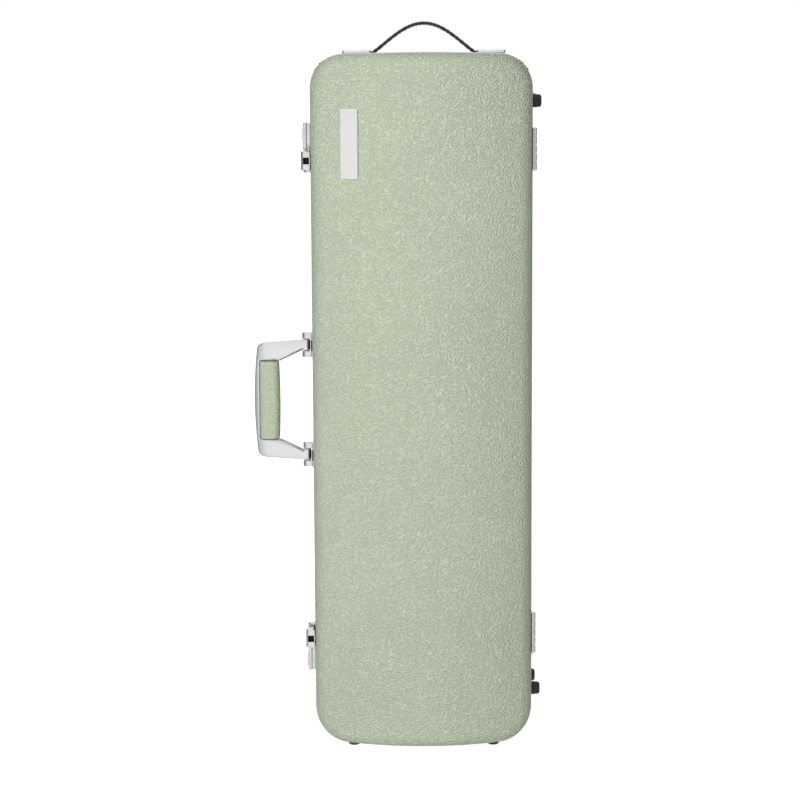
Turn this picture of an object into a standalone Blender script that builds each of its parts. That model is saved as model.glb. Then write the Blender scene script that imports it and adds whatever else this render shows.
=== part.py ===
"""A violin case standing on its end, built as an assembly of separate parts.

Case coordinates, in metres: +Z runs up the case's length, the lid faces -Y, the base is towards +Y, the
carrying handle is at -X and the hinges at +X. The plane y = 0 is where lid and base meet, x = 0 is the middle
of the shell and z = 0 is the ground. One empty then carries the whole case to where its footprint is centred.
"""

import math

import bmesh
import bpy
from mathutils import Matrix

# Clearances
GAP = 0.0003
RUNNING_GAP = 0.0005
CUT_OVERRUN = 0.003
WELD = 0.00001
SHARP_ANGLE = math.radians(40)

# Shells
SHELL_LENGTH = 0.785
SHELL_WIDTH = 0.248
SHELL_WALL = 0.0035
CORNER_RADIUS = 0.038
END_BULGE = 0.0012
LID_CROWN = 0.052
LID_SIDE = 0.023
LID_FILLET = 0.013
BASE_BACK = 0.092
BASE_SIDE = 0.089
BASE_FILLET = 0.014
BASE_DRAFT = 0.0035
EDGE_FLAT = 0.0012
CORNER_STEPS = 7
END_STEPS = 8
FILLET_STEPS = 4

# Rims and the seal between them
RIM_HEIGHT = 0.005
RIM_WIDTH = 0.005
RIM_PROUD = 0.0006
RIM_BEVEL = 0.0008
SEAL_THICKNESS = 0.0014
SEAL_WIDTH = 0.002
SEAL_INSET = 0.0014

# Feet
END_FOOT_HEIGHT = 0.014
SIDE_FOOT_HEIGHT = 0.011
FOOT_RADIUS = 0.0078
FOOT_TIP_RADIUS = 0.0062
FOOT_ROUNDING = 0.0016
FOOT_FRONT_Y = 0.0135
FOOT_REAR_Y = 0.0730
END_FOOT_FROM_SIDE = 0.043
SIDE_FOOT_FROM_END = 0.053

# Top strap and its end plates
STRAP_OFFSET_X = 0.003
STRAP_FROM_SIDE = 0.0655
STRAP_Y = 0.036
STRAP_WIDTH = 0.018
STRAP_THICKNESS = 0.0028
STRAP_RISE = 0.033
STRAP_FULLNESS = 1.15
STRAP_FLAT = 0.001
STRAP_TUCK = 0.024
STRAP_STEPS = 24
STRAP_PLATE_LENGTH = 0.0325
STRAP_PLATE_WIDTH = 0.025
STRAP_PLATE_ROOF = 0.0008
STRAP_PLATE_BEVEL = 0.0006

# Carrying handle: frame, grip, brackets and pins
HANDLE_Y = 0.020
HANDLE_REACH = 0.0685
HANDLE_AXIS_OUT = 0.0085
HANDLE_OUTER_SPAN = 0.140
HANDLE_ARM_WIDTH = 0.013
HANDLE_ARM_DROOP = 0.0037
HANDLE_DEPTH = 0.009
HANDLE_CORNER_IN = 0.0110
HANDLE_CORNER_DOWN = 0.0115
HANDLE_SPINE = 0.0057
HANDLE_SPINE_BOW = 0.0033
HANDLE_BRACE_IN = 0.0250
HANDLE_BRACE_DOWN = 0.0117
HANDLE_BRACE_START = 0.0137
HANDLE_BEVEL = 0.0016
HANDLE_PIN_RADIUS = 0.002
BOW_STEPS = 8
TURN_STEPS = 5
GRIP_FROM_END = 0.0252
GRIP_WIDTH = 0.0233
GRIP_DEPTH = 0.021
GRIP_BEVEL = 0.0075
LUG_THICKNESS = 0.007
LUG_RADIUS = 0.0048
BRACKET_PLATE = 0.0018
BRACKET_WIDTH = 0.024
BRACKET_BEVEL = 0.0005

# Latches: housing, thumb piece, hasp, pin and the keeper on the lid
LATCH_FROM_END = 0.0762
LATCH_HOUSING_LENGTH = 0.031
LATCH_HOUSING_OUT = 0.0073
LATCH_HOUSING_FRONT = 0.0015
LATCH_HOUSING_BACK = 0.024
LATCH_PLATE = 0.0018
LATCH_LUG = 0.003
LATCH_BEVEL = 0.0007
THUMB_WIDTH = 0.010
THUMB_LENGTH = 0.0145
THUMB_OUT = 0.0026
THUMB_STEM_WIDTH = 0.006
THUMB_STEM_LENGTH = 0.011
THUMB_TRAVEL = 0.006
THUMB_FROM_END = 0.0125
THUMB_SLOT_Y = 0.0125
THUMB_SLOT_DEPTH = 0.0035
HASP_LENGTH = 0.0215
HASP_OUT = 0.0110
HASP_FRONT = 0.0115
HASP_AXIS_Y = 0.012
HASP_BARREL_RADIUS = 0.0042
HASP_WALL = 0.0022
HASP_ROOF = 0.0022
HASP_LIFT = 0.0022
HASP_WINDOW = 0.0076
HASP_CHAMFER = 0.0035
HASP_PIN_RADIUS = 0.0015
KEEPER_PLATE = 0.0015
KEEPER_PLATE_LENGTH = 0.017
KEEPER_PLATE_BACK = 0.0014
KEEPER_PLATE_FRONT = 0.0092
KEEPER_POST_OUT = 0.0062
KEEPER_POST_WIDTH = 0.003
KEEPER_POST_FRONT = 0.0055
KEEPER_BAR_LENGTH = 0.0064
KEEPER_BAR_THICKNESS = 0.0015
KEEPER_BAR_FRONT = 0.0085

# Hinges
HINGE_UPPER_FROM_END = 0.1065
HINGE_LOWER_FROM_END = 0.1225
HINGE_LENGTH = 0.048
KNUCKLE_RADIUS = 0.0024
KNUCKLE_COUNT = 5
HINGE_PIN_RADIUS = 0.0011
LEAF_THICKNESS = 0.0012
LEAF_WIDTH = 0.0115
LEAF_BEVEL = 0.0004

# Plate on the lid
LID_PLATE_FROM_SIDE = 0.0442
LID_PLATE_FROM_END = 0.0985
LID_PLATE_WIDTH = 0.0208
LID_PLATE_LENGTH = 0.0775
LID_PLATE_THICKNESS = 0.0014
LID_PLATE_SEAT = 0.0006
LID_PLATE_BEVEL = 0.0005

# Padded inside of the base. Its hollows follow each other from the upper end down to the violin's body.
CUSHION_TOP = 0.014
END_TRAY_FROM_END = 0.018
END_TRAY_FROM_SIDE = 0.020
END_TRAY_LENGTH = 0.114
END_TRAY_DEPTH = 0.052
PEGBOX_FROM_TRAY = 0.017
PEGBOX_LENGTH = 0.106
PEGBOX_HALF_WIDTH = 0.041
PEGBOX_DEPTH = 0.052
NECK_LENGTH = 0.133
NECK_HALF_WIDTH = 0.030
NECK_DEPTH = 0.040
VIOLIN_LENGTH = 0.368
VIOLIN_HALF_WIDTH = 0.109
VIOLIN_DEPTH = 0.056
VIOLIN_STEPS = 3
WAIST_SHARE = 0.54
TRAY_INNER_X = 0.051
TRAY_FROM_SIDE = 0.0205
TRAY_FROM_PEGBOX_TOP = 0.024
TRAY_LENGTH = 0.192
TRAY_DEPTH = 0.058
TRAY_WALL = 0.002
SHELF_DEPTH = 0.026

# Flap over the tray beside the neck
FLAP_MARGIN = 0.0025
FLAP_THICKNESS = 0.004
FLAP_TAB_WIDTH = 0.022
FLAP_TAB_LENGTH = 0.012
FLAP_TAB_THICKNESS = 0.0016

# Neck cradle and strap
CRADLE_FROM_NECK_TOP = 0.062
CRADLE_LENGTH = 0.032
CRADLE_RISE = 0.030
CRADLE_NOTCH_RADIUS = 0.0165
NECK_STRAP_HALF_LENGTH = 0.043
NECK_STRAP_WIDTH = 0.018
NECK_STRAP_THICKNESS = 0.002
NECK_STRAP_BUMP = 0.004

# Lid lining, bow rests with turning clips, and loops for the bow tips
LINING_THICKNESS = 0.002
BOW_X = 0.046
BOW_REST_FROM_END = 0.083
BOW_REST_WIDTH = 0.046
BOW_REST_LENGTH = 0.030
BOW_REST_TOP = 0.024
BOW_NOTCH_RADIUS = 0.0062
BOW_NOTCH_OFFSET = 0.011
CLIP_OFFSET = 0.010
CLIP_RADIUS = 0.0068
CLIP_THICKNESS = 0.003
CLIP_REACH = 0.027
CLIP_HALF_WIDTH = 0.0045
CLIP_STEM_RADIUS = 0.002
CLIP_STEM_LENGTH = 0.006
LOOP_FROM_END = 0.060
LOOP_LENGTH = 0.034
LOOP_RADIUS = 0.013
LOOP_THICKNESS = 0.002
LOOP_STEPS = 8
ARCH_STEPS = 6

ROUND_STEPS = 16
SMALL_ROUND_STEPS = 12

# Places worked out from the sizes above. Heights are from the case's middle.
SHELL_HALF = SHELL_WIDTH / 2
HALF_LENGTH = SHELL_LENGTH / 2
MIDDLE_Z = END_FOOT_HEIGHT + HALF_LENGTH
END_FOOT_X = SHELL_HALF - END_FOOT_FROM_SIDE
SIDE_FOOT_Z = HALF_LENGTH - SIDE_FOOT_FROM_END
STRAP_SPAN = SHELL_WIDTH - 2 * STRAP_FROM_SIDE
GRIP_LENGTH = HANDLE_OUTER_SPAN - 2 * GRIP_FROM_END
LATCH_HOUSING_HIGH = HALF_LENGTH - LATCH_FROM_END
LATCH_HOUSING_LOW = LATCH_HOUSING_HIGH - LATCH_HOUSING_LENGTH
THUMB_MIDDLE = LATCH_HOUSING_HIGH - THUMB_FROM_END
HINGE_UPPER_Z = HALF_LENGTH - HINGE_UPPER_FROM_END
HINGE_LOWER_Z = HINGE_LOWER_FROM_END - HALF_LENGTH
LID_PLATE_X = LID_PLATE_FROM_SIDE - SHELL_HALF
LID_PLATE_Z = HALF_LENGTH - LID_PLATE_FROM_END
END_TRAY_HALF_WIDTH = SHELL_HALF - END_TRAY_FROM_SIDE
END_TRAY_HIGH = HALF_LENGTH - END_TRAY_FROM_END
END_TRAY_LOW = END_TRAY_HIGH - END_TRAY_LENGTH
PEGBOX_TOP = END_TRAY_LOW - PEGBOX_FROM_TRAY
NECK_TOP = PEGBOX_TOP - PEGBOX_LENGTH
BODY_TOP = NECK_TOP - NECK_LENGTH
VIOLIN_LOW = BODY_TOP - VIOLIN_LENGTH
TRAY_OUTER_X = SHELL_HALF - TRAY_FROM_SIDE
TRAY_HIGH = PEGBOX_TOP - TRAY_FROM_PEGBOX_TOP
TRAY_LOW = TRAY_HIGH - TRAY_LENGTH
FLAP_WIDTH = TRAY_OUTER_X - TRAY_INNER_X - FLAP_MARGIN
CRADLE_Z = NECK_TOP - CRADLE_FROM_NECK_TOP
BOW_REST_Z = HALF_LENGTH - BOW_REST_FROM_END
LOOP_Z = LOOP_FROM_END - HALF_LENGTH
RIM_BACK = SEAL_THICKNESS / 2 + GAP
SHELL_EDGE = RIM_BACK + RIM_HEIGHT + GAP
LINING_DEPTH = SHELL_WALL + GAP
HINGE_X = SHELL_HALF + RIM_PROUD + GAP + KNUCKLE_RADIUS
HANDLE_AXIS_X = -SHELL_HALF - HANDLE_AXIS_OUT
HASP_AXIS_X = -SHELL_HALF - RIM_PROUD - GAP - HASP_BARREL_RADIUS
SIDE_REACH_RIGHT = SHELL_HALF + SIDE_FOOT_HEIGHT
ORIGIN_X = (SIDE_REACH_RIGHT - SHELL_HALF - HANDLE_REACH) / 2
ORIGIN_Y = (BASE_BACK - LID_CROWN) / 2


def empty_scene():
    """Removes whatever the file opened with, and makes the collections for the parts and the cutters."""
    for old in list(bpy.data.objects):
        bpy.data.objects.remove(old)
    made = []
    for name in ("violin_case", "cutters"):
        collection = bpy.data.collections.new(name)
        bpy.context.scene.collection.children.link(collection)
        made.append(collection)
    return made


case_parts, cutters = empty_scene()


def finish(name, colour, roughness, metallic=0.0):
    """A plain Principled material."""
    made = bpy.data.materials.new(name)
    made.use_nodes = True
    shader = made.node_tree.nodes["Principled BSDF"]
    shader.inputs["Base Color"].default_value = (*colour, 1.0)
    shader.inputs["Roughness"].default_value = roughness
    shader.inputs["Metallic"].default_value = metallic
    return made


LEATHERETTE = finish("sage_leatherette", (0.50, 0.57, 0.43), 0.55)
GRIP_LEATHER = finish("sage_grip_leather", (0.50, 0.57, 0.43), 0.50)
CAST_ALLOY = finish("satin_alloy", (0.78, 0.79, 0.80), 0.32, 0.9)
PLATED_STEEL = finish("plated_steel", (0.74, 0.75, 0.76), 0.28, 1.0)
RUBBER = finish("black_rubber", (0.035, 0.033, 0.034), 0.75)
STRAP_LEATHER = finish("dark_strap_leather", (0.030, 0.026, 0.027), 0.50)
PLUSH = finish("grey_plush", (0.16, 0.17, 0.17), 0.95)
LINING_CLOTH = finish("lining_cloth", (0.20, 0.21, 0.21), 0.90)
DARK_PLASTIC = finish("dark_plastic", (0.04, 0.04, 0.042), 0.40)


def carrier(name, x=0.0, y=0.0, z=0.0, parent=None):
    """An empty on a joint's axis. It is placed in case coordinates and remembers that place."""
    made = bpy.data.objects.new(name, None)
    case_parts.objects.link(made)
    made["place"] = (x, y, z)
    if parent is None:
        made.location = (x, y, z)
    else:
        made.parent = parent
        made.location = [own - up for own, up in zip((x, y, z), parent["place"])]
    return made


CASE = carrier("case_frame")
CASE.location = (-ORIGIN_X, -ORIGIN_Y, 0.0)


def shade_round(mesh):
    """Shades a mesh smooth, apart from its sharp edges."""
    mesh.shade_smooth()
    mesh.set_sharp_from_angle(angle=SHARP_ANGLE)


def part(name, shape, material, on=CASE):
    """Names a shape, drawn in case coordinates, as a part of the case. Its origin goes to its carrier's."""
    bmesh.ops.translate(shape, vec=[-place for place in on["place"]], verts=shape.verts)
    mesh = bpy.data.meshes.new(name)
    shape.to_mesh(mesh)
    shape.free()
    shade_round(mesh)
    mesh.materials.append(material)
    made = bpy.data.objects.new(name, mesh)
    case_parts.objects.link(made)
    made.parent = on
    return made


def cutter(name, shape, on=CASE):
    """A shape that only cuts or joins. It isn't part of the case."""
    made = part(name, shape, RUBBER, on)
    case_parts.objects.unlink(made)
    cutters.objects.link(made)
    made.hide_render = True
    made.display_type = "WIRE"
    return made


def combine(target, shape, operation):
    """Cuts a shape from a part, or joins it on."""
    tool = cutter(f"{target.name}_{operation.lower()}_{len(target.modifiers)}", shape, target.parent)
    boolean = target.modifiers.new(operation.title(), "BOOLEAN")
    boolean.operation = operation
    boolean.solver = "EXACT"
    boolean.object = tool


def cut(target, *shapes):
    for shape in shapes:
        combine(target, shape, "DIFFERENCE")


def join(target, *shapes):
    for shape in shapes:
        combine(target, shape, "UNION")


def bevel(target, width, segments=1):
    """Rounds the sharp edges."""
    rounding = target.modifiers.new("Rounded edges", "BEVEL")
    rounding.width = width
    rounding.segments = segments
    rounding.limit_method = "ANGLE"
    rounding.angle_limit = SHARP_ANGLE


def wall(target, thickness):
    """Gives an open surface its wall, on the side away from its normals."""
    solidify = target.modifiers.new("Wall", "SOLIDIFY")
    solidify.thickness = thickness
    solidify.offset = -1
    solidify.use_even_offset = True


def box(x_span, y_span, z_span):
    """A box between two places on each axis."""
    shape = bmesh.new()
    bmesh.ops.create_cube(shape, size=1)
    spans = (x_span, y_span, z_span)
    bmesh.ops.scale(shape, vec=[abs(high - low) for low, high in spans], verts=shape.verts)
    bmesh.ops.translate(shape, vec=[(high + low) / 2 for low, high in spans], verts=shape.verts)
    return shape


def round_face(shape, x, width):
    """Rounds the edges that lie in the plane at x."""
    in_plane = [e for e in shape.edges if all(abs(v.co.x - x) < WELD for v in e.verts)]
    edges = [e for e in in_plane if e.calc_face_angle() > SHARP_ANGLE]
    bmesh.ops.bevel(shape, geom=edges, offset=width, segments=1, profile=0.5, affect="EDGES")


def rod(radius, centre, length, axis="Z", tip_radius=None, steps=ROUND_STEPS):
    """A cylinder, or a cone with a flat tip at its far end, about a centre."""
    turns = {"X": Matrix.Rotation(math.pi / 2, 3, "Y"), "Y": Matrix.Rotation(-math.pi / 2, 3, "X")}
    shape = bmesh.new()
    bmesh.ops.create_cone(
        shape,
        cap_ends=True,
        segments=steps,
        radius1=radius,
        radius2=radius if tip_radius is None else tip_radius,
        depth=length,
    )
    if axis in turns:
        bmesh.ops.rotate(shape, matrix=turns[axis], verts=shape.verts)
    bmesh.ops.translate(shape, vec=centre, verts=shape.verts)
    return shape


def outline_solid(points, thickness, centre=(0.0, 0.0, 0.0), upright=False):
    """A flat outline thickened evenly. It lies in X and Y, or when upright in X and Z."""
    curve = bpy.data.curves.new("outline", "CURVE")
    curve.dimensions = "2D"
    curve.fill_mode = "BOTH"
    curve.extrude = thickness / 2
    spline = curve.splines.new("POLY")
    spline.points.add(len(points) - 1)
    for point, (across, along) in zip(spline.points, points):
        point.co = (across, along, 0.0, 1.0)
    spline.use_cyclic_u = True
    drawn = bpy.data.objects.new("outline", curve)
    cutters.objects.link(drawn)
    mesh = bpy.data.meshes.new_from_object(drawn.evaluated_get(bpy.context.evaluated_depsgraph_get()))
    shape = bmesh.new()
    shape.from_mesh(mesh)
    bmesh.ops.remove_doubles(shape, verts=shape.verts, dist=WELD)
    bmesh.ops.recalc_face_normals(shape, faces=shape.faces)
    if upright:
        bmesh.ops.rotate(shape, matrix=Matrix.Rotation(math.pi / 2, 3, "X"), verts=shape.verts)
    bmesh.ops.translate(shape, vec=centre, verts=shape.verts)
    bpy.data.objects.remove(drawn)
    bpy.data.curves.remove(curve)
    bpy.data.meshes.remove(mesh)
    return shape


def arc(centre, radius, start, end, steps):
    """Points on an arc, with its angles in degrees."""
    angles = [math.radians(start + (end - start) * step / steps) for step in range(steps + 1)]
    return [(centre[0] + radius * math.cos(a), centre[1] + radius * math.sin(a)) for a in angles]


def skin(shape, rings, closed=True):
    """Quads between each ring of points and the next."""
    for outer, inner in zip(rings, rings[1:]):
        count = len(outer)
        for i in range(count if closed else count - 1):
            following = (i + 1) % count
            shape.faces.new((outer[i], outer[following], inner[following], inner[i]))


# The two shells


def end_bulge(x):
    """How far the end faces swell at x, between the corners."""
    share = min(1.0, abs(x) / (SHELL_HALF - CORNER_RADIUS))
    return END_BULGE * (1 - share**2)


def front_outline(inset):
    """The case's outline from the front, drawn in by inset, as (x, z) points going anticlockwise."""
    reach_x = SHELL_HALF - CORNER_RADIUS
    reach_z = SHELL_LENGTH / 2 - CORNER_RADIUS
    radius = CORNER_RADIUS - inset
    points = []
    for corner, (side_x, side_z) in enumerate(((1, -1), (1, 1), (-1, 1), (-1, -1))):
        centre = (side_x * reach_x, MIDDLE_Z + side_z * reach_z)
        start = 90 * (corner - 1)
        points += arc(centre, radius, start, start + 90, CORNER_STEPS)
        if corner in (1, 3):
            for step in range(1, END_STEPS):
                x = side_x * reach_x * (1 - 2 * step / END_STEPS)
                points.append((x, centre[1] + side_z * (radius + end_bulge(x))))
    return points


def arch(x, crown, side):
    """How far a shell stands out at x, on a round arch from its side height to its crown."""
    sag = crown - side
    radius = (SHELL_HALF**2 + sag**2) / (2 * sag)
    return crown - radius + math.sqrt(radius**2 - x**2)


def dished(facing, crown, side, fillet, draft):
    """A shell's outer surface, open at the rim, facing -1 for the lid and 1 for the base."""
    shape = bmesh.new()
    rings = []
    for edge in (SHELL_EDGE, SHELL_EDGE + EDGE_FLAT):
        rings.append([shape.verts.new((x, facing * edge, z)) for x, z in front_outline(0)])
    for step in range(FILLET_STEPS + 1):
        angle = math.pi / 2 * step / FILLET_STEPS
        inset = draft + fillet * (1 - math.cos(angle))
        drop = fillet * (1 - math.sin(angle))
        ring = [(x, facing * (arch(x, crown, side) - drop), z) for x, z in front_outline(inset)]
        rings.append([shape.verts.new(point) for point in ring])
    skin(shape, rings)
    inner = rings[-1]
    half = len(inner) // 2
    upper = [inner[CORNER_STEPS + 1 + k] for k in range(half)]
    lower = [inner[CORNER_STEPS - k] for k in range(half)]
    skin(shape, [upper, lower], closed=False)
    if facing > 0:
        bmesh.ops.reverse_faces(shape, faces=shape.faces)
    return shape


def lid_surface():
    return dished(-1, LID_CROWN, LID_SIDE, LID_FILLET, 0.0)


def base_surface():
    return dished(1, BASE_BACK, BASE_SIDE, BASE_FILLET, BASE_DRAFT)


def shrunk(shape, distance):
    """The same surface, moved inwards by an even distance."""
    shape.normal_update()
    moves = [(vert, vert.normal * distance * vert.calc_shell_factor()) for vert in shape.verts]
    for vert, move in moves:
        vert.co -= move
    return shape


def outline_band(inset, low, high):
    """An open band that follows the case's outline between two places in Y."""
    shape = bmesh.new()
    rings = [[shape.verts.new((x, y, z)) for x, z in front_outline(inset)] for y in (high, low)]
    skin(shape, rings)
    return shape


# Carriers on the joints' axes
LID = carrier("lid_axis", HINGE_X, 0.0, MIDDLE_Z, CASE)
HANDLE = carrier("handle_axis", HANDLE_AXIS_X, HANDLE_Y, MIDDLE_Z, CASE)
FLAP = carrier("flap_axis", TRAY_INNER_X, CUSHION_TOP - GAP - FLAP_THICKNESS / 2, MIDDLE_Z, CASE)


def make_shells():
    lid_shell = part("lid_shell", lid_surface(), LEATHERETTE, LID)
    wall(lid_shell, SHELL_WALL)
    base_shell = part("base_shell", base_surface(), LEATHERETTE)
    wall(base_shell, SHELL_WALL)


def make_rims():
    """Alloy rims on both shells, and a soft seal that lies on the base's rim."""
    for name, low, on in (
        ("lid_rim", -RIM_BACK - RIM_HEIGHT, LID),
        ("base_rim", RIM_BACK, CASE),
    ):
        rim = part(name, outline_band(-RIM_PROUD, low, low + RIM_HEIGHT), CAST_ALLOY, on)
        wall(rim, RIM_WIDTH)
        bevel(rim, RIM_BEVEL)
    seal = part("rim_seal", outline_band(SEAL_INSET, -SEAL_THICKNESS / 2, SEAL_THICKNESS / 2), RUBBER)
    wall(seal, SEAL_WIDTH)


# What is fixed to the outside


def draft_slope():
    return BASE_DRAFT / (BASE_SIDE - BASE_FILLET - SHELL_EDGE - EDGE_FLAT)


def drawn_in(y):
    """How far the base's walls have come in at y, with their draft."""
    return draft_slope() * max(0.0, y - SHELL_EDGE - EDGE_FLAT)


def base_side(y):
    """The half width of the base at y."""
    return SHELL_HALF - drawn_in(y)


def wall_pad(face, y_span, z_span):
    """A pad on the base's handle side, flat at face, with a back that follows the wall's draft."""
    near, far = y_span
    low, high = z_span
    outline = [(face, near), (-base_side(near) - GAP, near), (-base_side(far) - GAP, far), (face, far)]
    return outline_solid(outline, high - low, (0.0, 0.0, (low + high) / 2))


def wall_and_gap(y_span, z_span):
    """The space of the base's handle side and its clearance, which trims the back of what lies there."""
    near, far = y_span
    low, high = z_span
    steps = (near, SHELL_EDGE + EDGE_FLAT, far)
    outline = [(-base_side(y) - GAP, y) for y in steps]
    outline += [(-SHELL_HALF + SHELL_WALL, y) for y in (far, near)]
    return outline_solid(outline, high - low, (0.0, 0.0, (low + high) / 2))


def foot_mesh(name, length):
    """A tapered foot that stands on its narrow end."""
    turned = rod(FOOT_TIP_RADIUS, (0.0, 0.0, length / 2), length, tip_radius=FOOT_RADIUS)
    mesh = bpy.data.meshes.new(name)
    turned.to_mesh(mesh)
    turned.free()
    shade_round(mesh)
    mesh.materials.append(RUBBER)
    return mesh


def place_foot(name, mesh, place, turn):
    foot = bpy.data.objects.new(name, mesh)
    case_parts.objects.link(foot)
    foot.parent = CASE
    foot.location = place
    foot.rotation_euler = (0.0, turn, 0.0)
    bevel(foot, FOOT_ROUNDING, 2)


def make_feet():
    """Turned rubber feet, four under the lower end and four along the hinge side."""
    bulge = end_bulge(END_FOOT_X - FOOT_RADIUS)
    for row, y in (("front", FOOT_FRONT_Y), ("rear", FOOT_REAR_Y)):
        inset = drawn_in(y - FOOT_RADIUS)
        end_mesh = foot_mesh(f"end_foot_{row}", END_FOOT_HEIGHT + inset - bulge - GAP)
        for side, x in (("left", -END_FOOT_X), ("right", END_FOOT_X)):
            place_foot(f"end_foot_{row}_{side}", end_mesh, (x, y, 0.0), 0.0)
        side_mesh = foot_mesh(f"side_foot_{row}", SIDE_FOOT_HEIGHT - GAP)
        tip = SIDE_REACH_RIGHT - inset
        for side, z in (("lower", -SIDE_FOOT_Z), ("upper", SIDE_FOOT_Z)):
            place_foot(f"side_foot_{row}_{side}", side_mesh, (tip, y, MIDDLE_Z + z), -math.pi / 2)


def make_top_strap():
    """A leather band that bows up between two plates, which hold its flat ends on the shell."""
    half_span = STRAP_SPAN / 2
    top = MIDDLE_Z + HALF_LENGTH + end_bulge(half_span - STRAP_OFFSET_X) - drawn_in(STRAP_Y)
    middle = top + GAP + STRAP_THICKNESS / 2

    def lean(shape):
        """Lays a shape on the end wall, which falls away to the back."""
        fall = Matrix.Rotation(-math.atan(draft_slope()), 3, "X")
        bmesh.ops.rotate(shape, cent=(0.0, STRAP_Y, top), matrix=fall, verts=shape.verts)
        return shape

    heights = [(-half_span - STRAP_TUCK, middle)]
    for step in range(STRAP_STEPS + 1):
        x = half_span * (2 * step / STRAP_STEPS - 1)
        share = math.cos(math.pi / 2 * x / half_span)
        heights.append((x, middle + STRAP_RISE * max(0.0, share) ** STRAP_FULLNESS))
    heights.append((half_span + STRAP_TUCK, middle))
    shape = bmesh.new()
    edges = [STRAP_Y - STRAP_WIDTH / 2, STRAP_Y + STRAP_WIDTH / 2]
    rows = [[shape.verts.new((STRAP_OFFSET_X + x, y, z)) for x, z in heights] for y in edges]
    skin(shape, rows, closed=False)
    strap = part("top_strap", lean(shape), STRAP_LEATHER)
    wall(strap, STRAP_THICKNESS)
    strap.modifiers["Wall"].offset = 0
    for side, name in ((-1, "strap_plate_left"), (1, "strap_plate_right")):
        inner = STRAP_OFFSET_X + side * (half_span + STRAP_FLAT)
        outer = inner + side * STRAP_PLATE_LENGTH
        half_width = STRAP_PLATE_WIDTH / 2
        bottom = top + GAP
        slot_roof = bottom + STRAP_THICKNESS + GAP
        plate_y = (STRAP_Y - half_width, STRAP_Y + half_width)
        plate = box((inner, outer), plate_y, (bottom, slot_roof + STRAP_PLATE_ROOF))
        plate = part(name, lean(plate), PLATED_STEEL)
        bevel(plate, STRAP_PLATE_BEVEL)
        half_slot = STRAP_WIDTH / 2 + GAP
        slot_end = STRAP_OFFSET_X + side * (half_span + STRAP_TUCK + GAP)
        slot_span = (inner - side * CUT_OVERRUN, slot_end)
        slot = box(slot_span, (STRAP_Y - half_slot, STRAP_Y + half_slot), (bottom - CUT_OVERRUN, slot_roof))
        cut(plate, lean(slot))


def make_lid_plate():
    """A plain metal plate, lying tangent to the lid's arch."""
    sag = LID_CROWN - LID_SIDE
    radius = (SHELL_HALF**2 + sag**2) / (2 * sag)
    lean = math.asin(LID_PLATE_X / radius)
    seat = radius + LID_PLATE_SEAT
    half_width, half_length = LID_PLATE_WIDTH / 2, LID_PLATE_LENGTH / 2
    plate = box((-half_width, half_width), (-seat - LID_PLATE_THICKNESS, -seat), (-half_length, half_length))
    bmesh.ops.rotate(plate, matrix=Matrix.Rotation(lean, 3, "Z"), verts=plate.verts)
    arch_centre_y = radius - LID_CROWN
    bmesh.ops.translate(plate, vec=(0.0, arch_centre_y, MIDDLE_Z + LID_PLATE_Z), verts=plate.verts)
    bevel(part("lid_plate", plate, CAST_ALLOY, LID), LID_PLATE_BEVEL)


# Carrying handle


def half_frame_outline():
    """The upper half of the handle frame's outside and inside, as (x, z) from its pivot and from its grip."""
    half_span = HANDLE_OUTER_SPAN / 2
    end_x = HANDLE_AXIS_X
    left = -SHELL_HALF - HANDLE_REACH
    corner_x = left + HANDLE_SPINE_BOW
    corner_z = half_span - HANDLE_ARM_DROOP - HANDLE_CORNER_DOWN + HANDLE_SPINE_BOW
    turn_x = corner_x + HANDLE_CORNER_IN
    turn_z = half_span - HANDLE_ARM_DROOP
    outside = [(end_x, half_span)]
    for step in range(TURN_STEPS + 1):
        angle = math.pi / 2 * step / TURN_STEPS
        x = turn_x - (turn_x - corner_x) * math.sin(angle)
        z = corner_z + (turn_z - corner_z) * math.cos(angle)
        outside.append((x, z))
    for step in range(1, BOW_STEPS + 1):
        z = corner_z * (1 - step / BOW_STEPS)
        outside.append((left + HANDLE_SPINE_BOW * (z / corner_z) ** 2, z))
    seat_x = left + HANDLE_SPINE
    grip_end = GRIP_LENGTH / 2 + GAP
    arm_under = half_span - HANDLE_ARM_WIDTH
    brace_start = -SHELL_HALF - HANDLE_BRACE_START
    brace_end = brace_start - HANDLE_BRACE_IN
    inside = [
        (seat_x, grip_end),
        (brace_end, grip_end),
        (brace_end, arm_under - HANDLE_BRACE_DOWN),
        (brace_start, arm_under),
        (end_x, arm_under),
    ]
    return outside, inside


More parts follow.
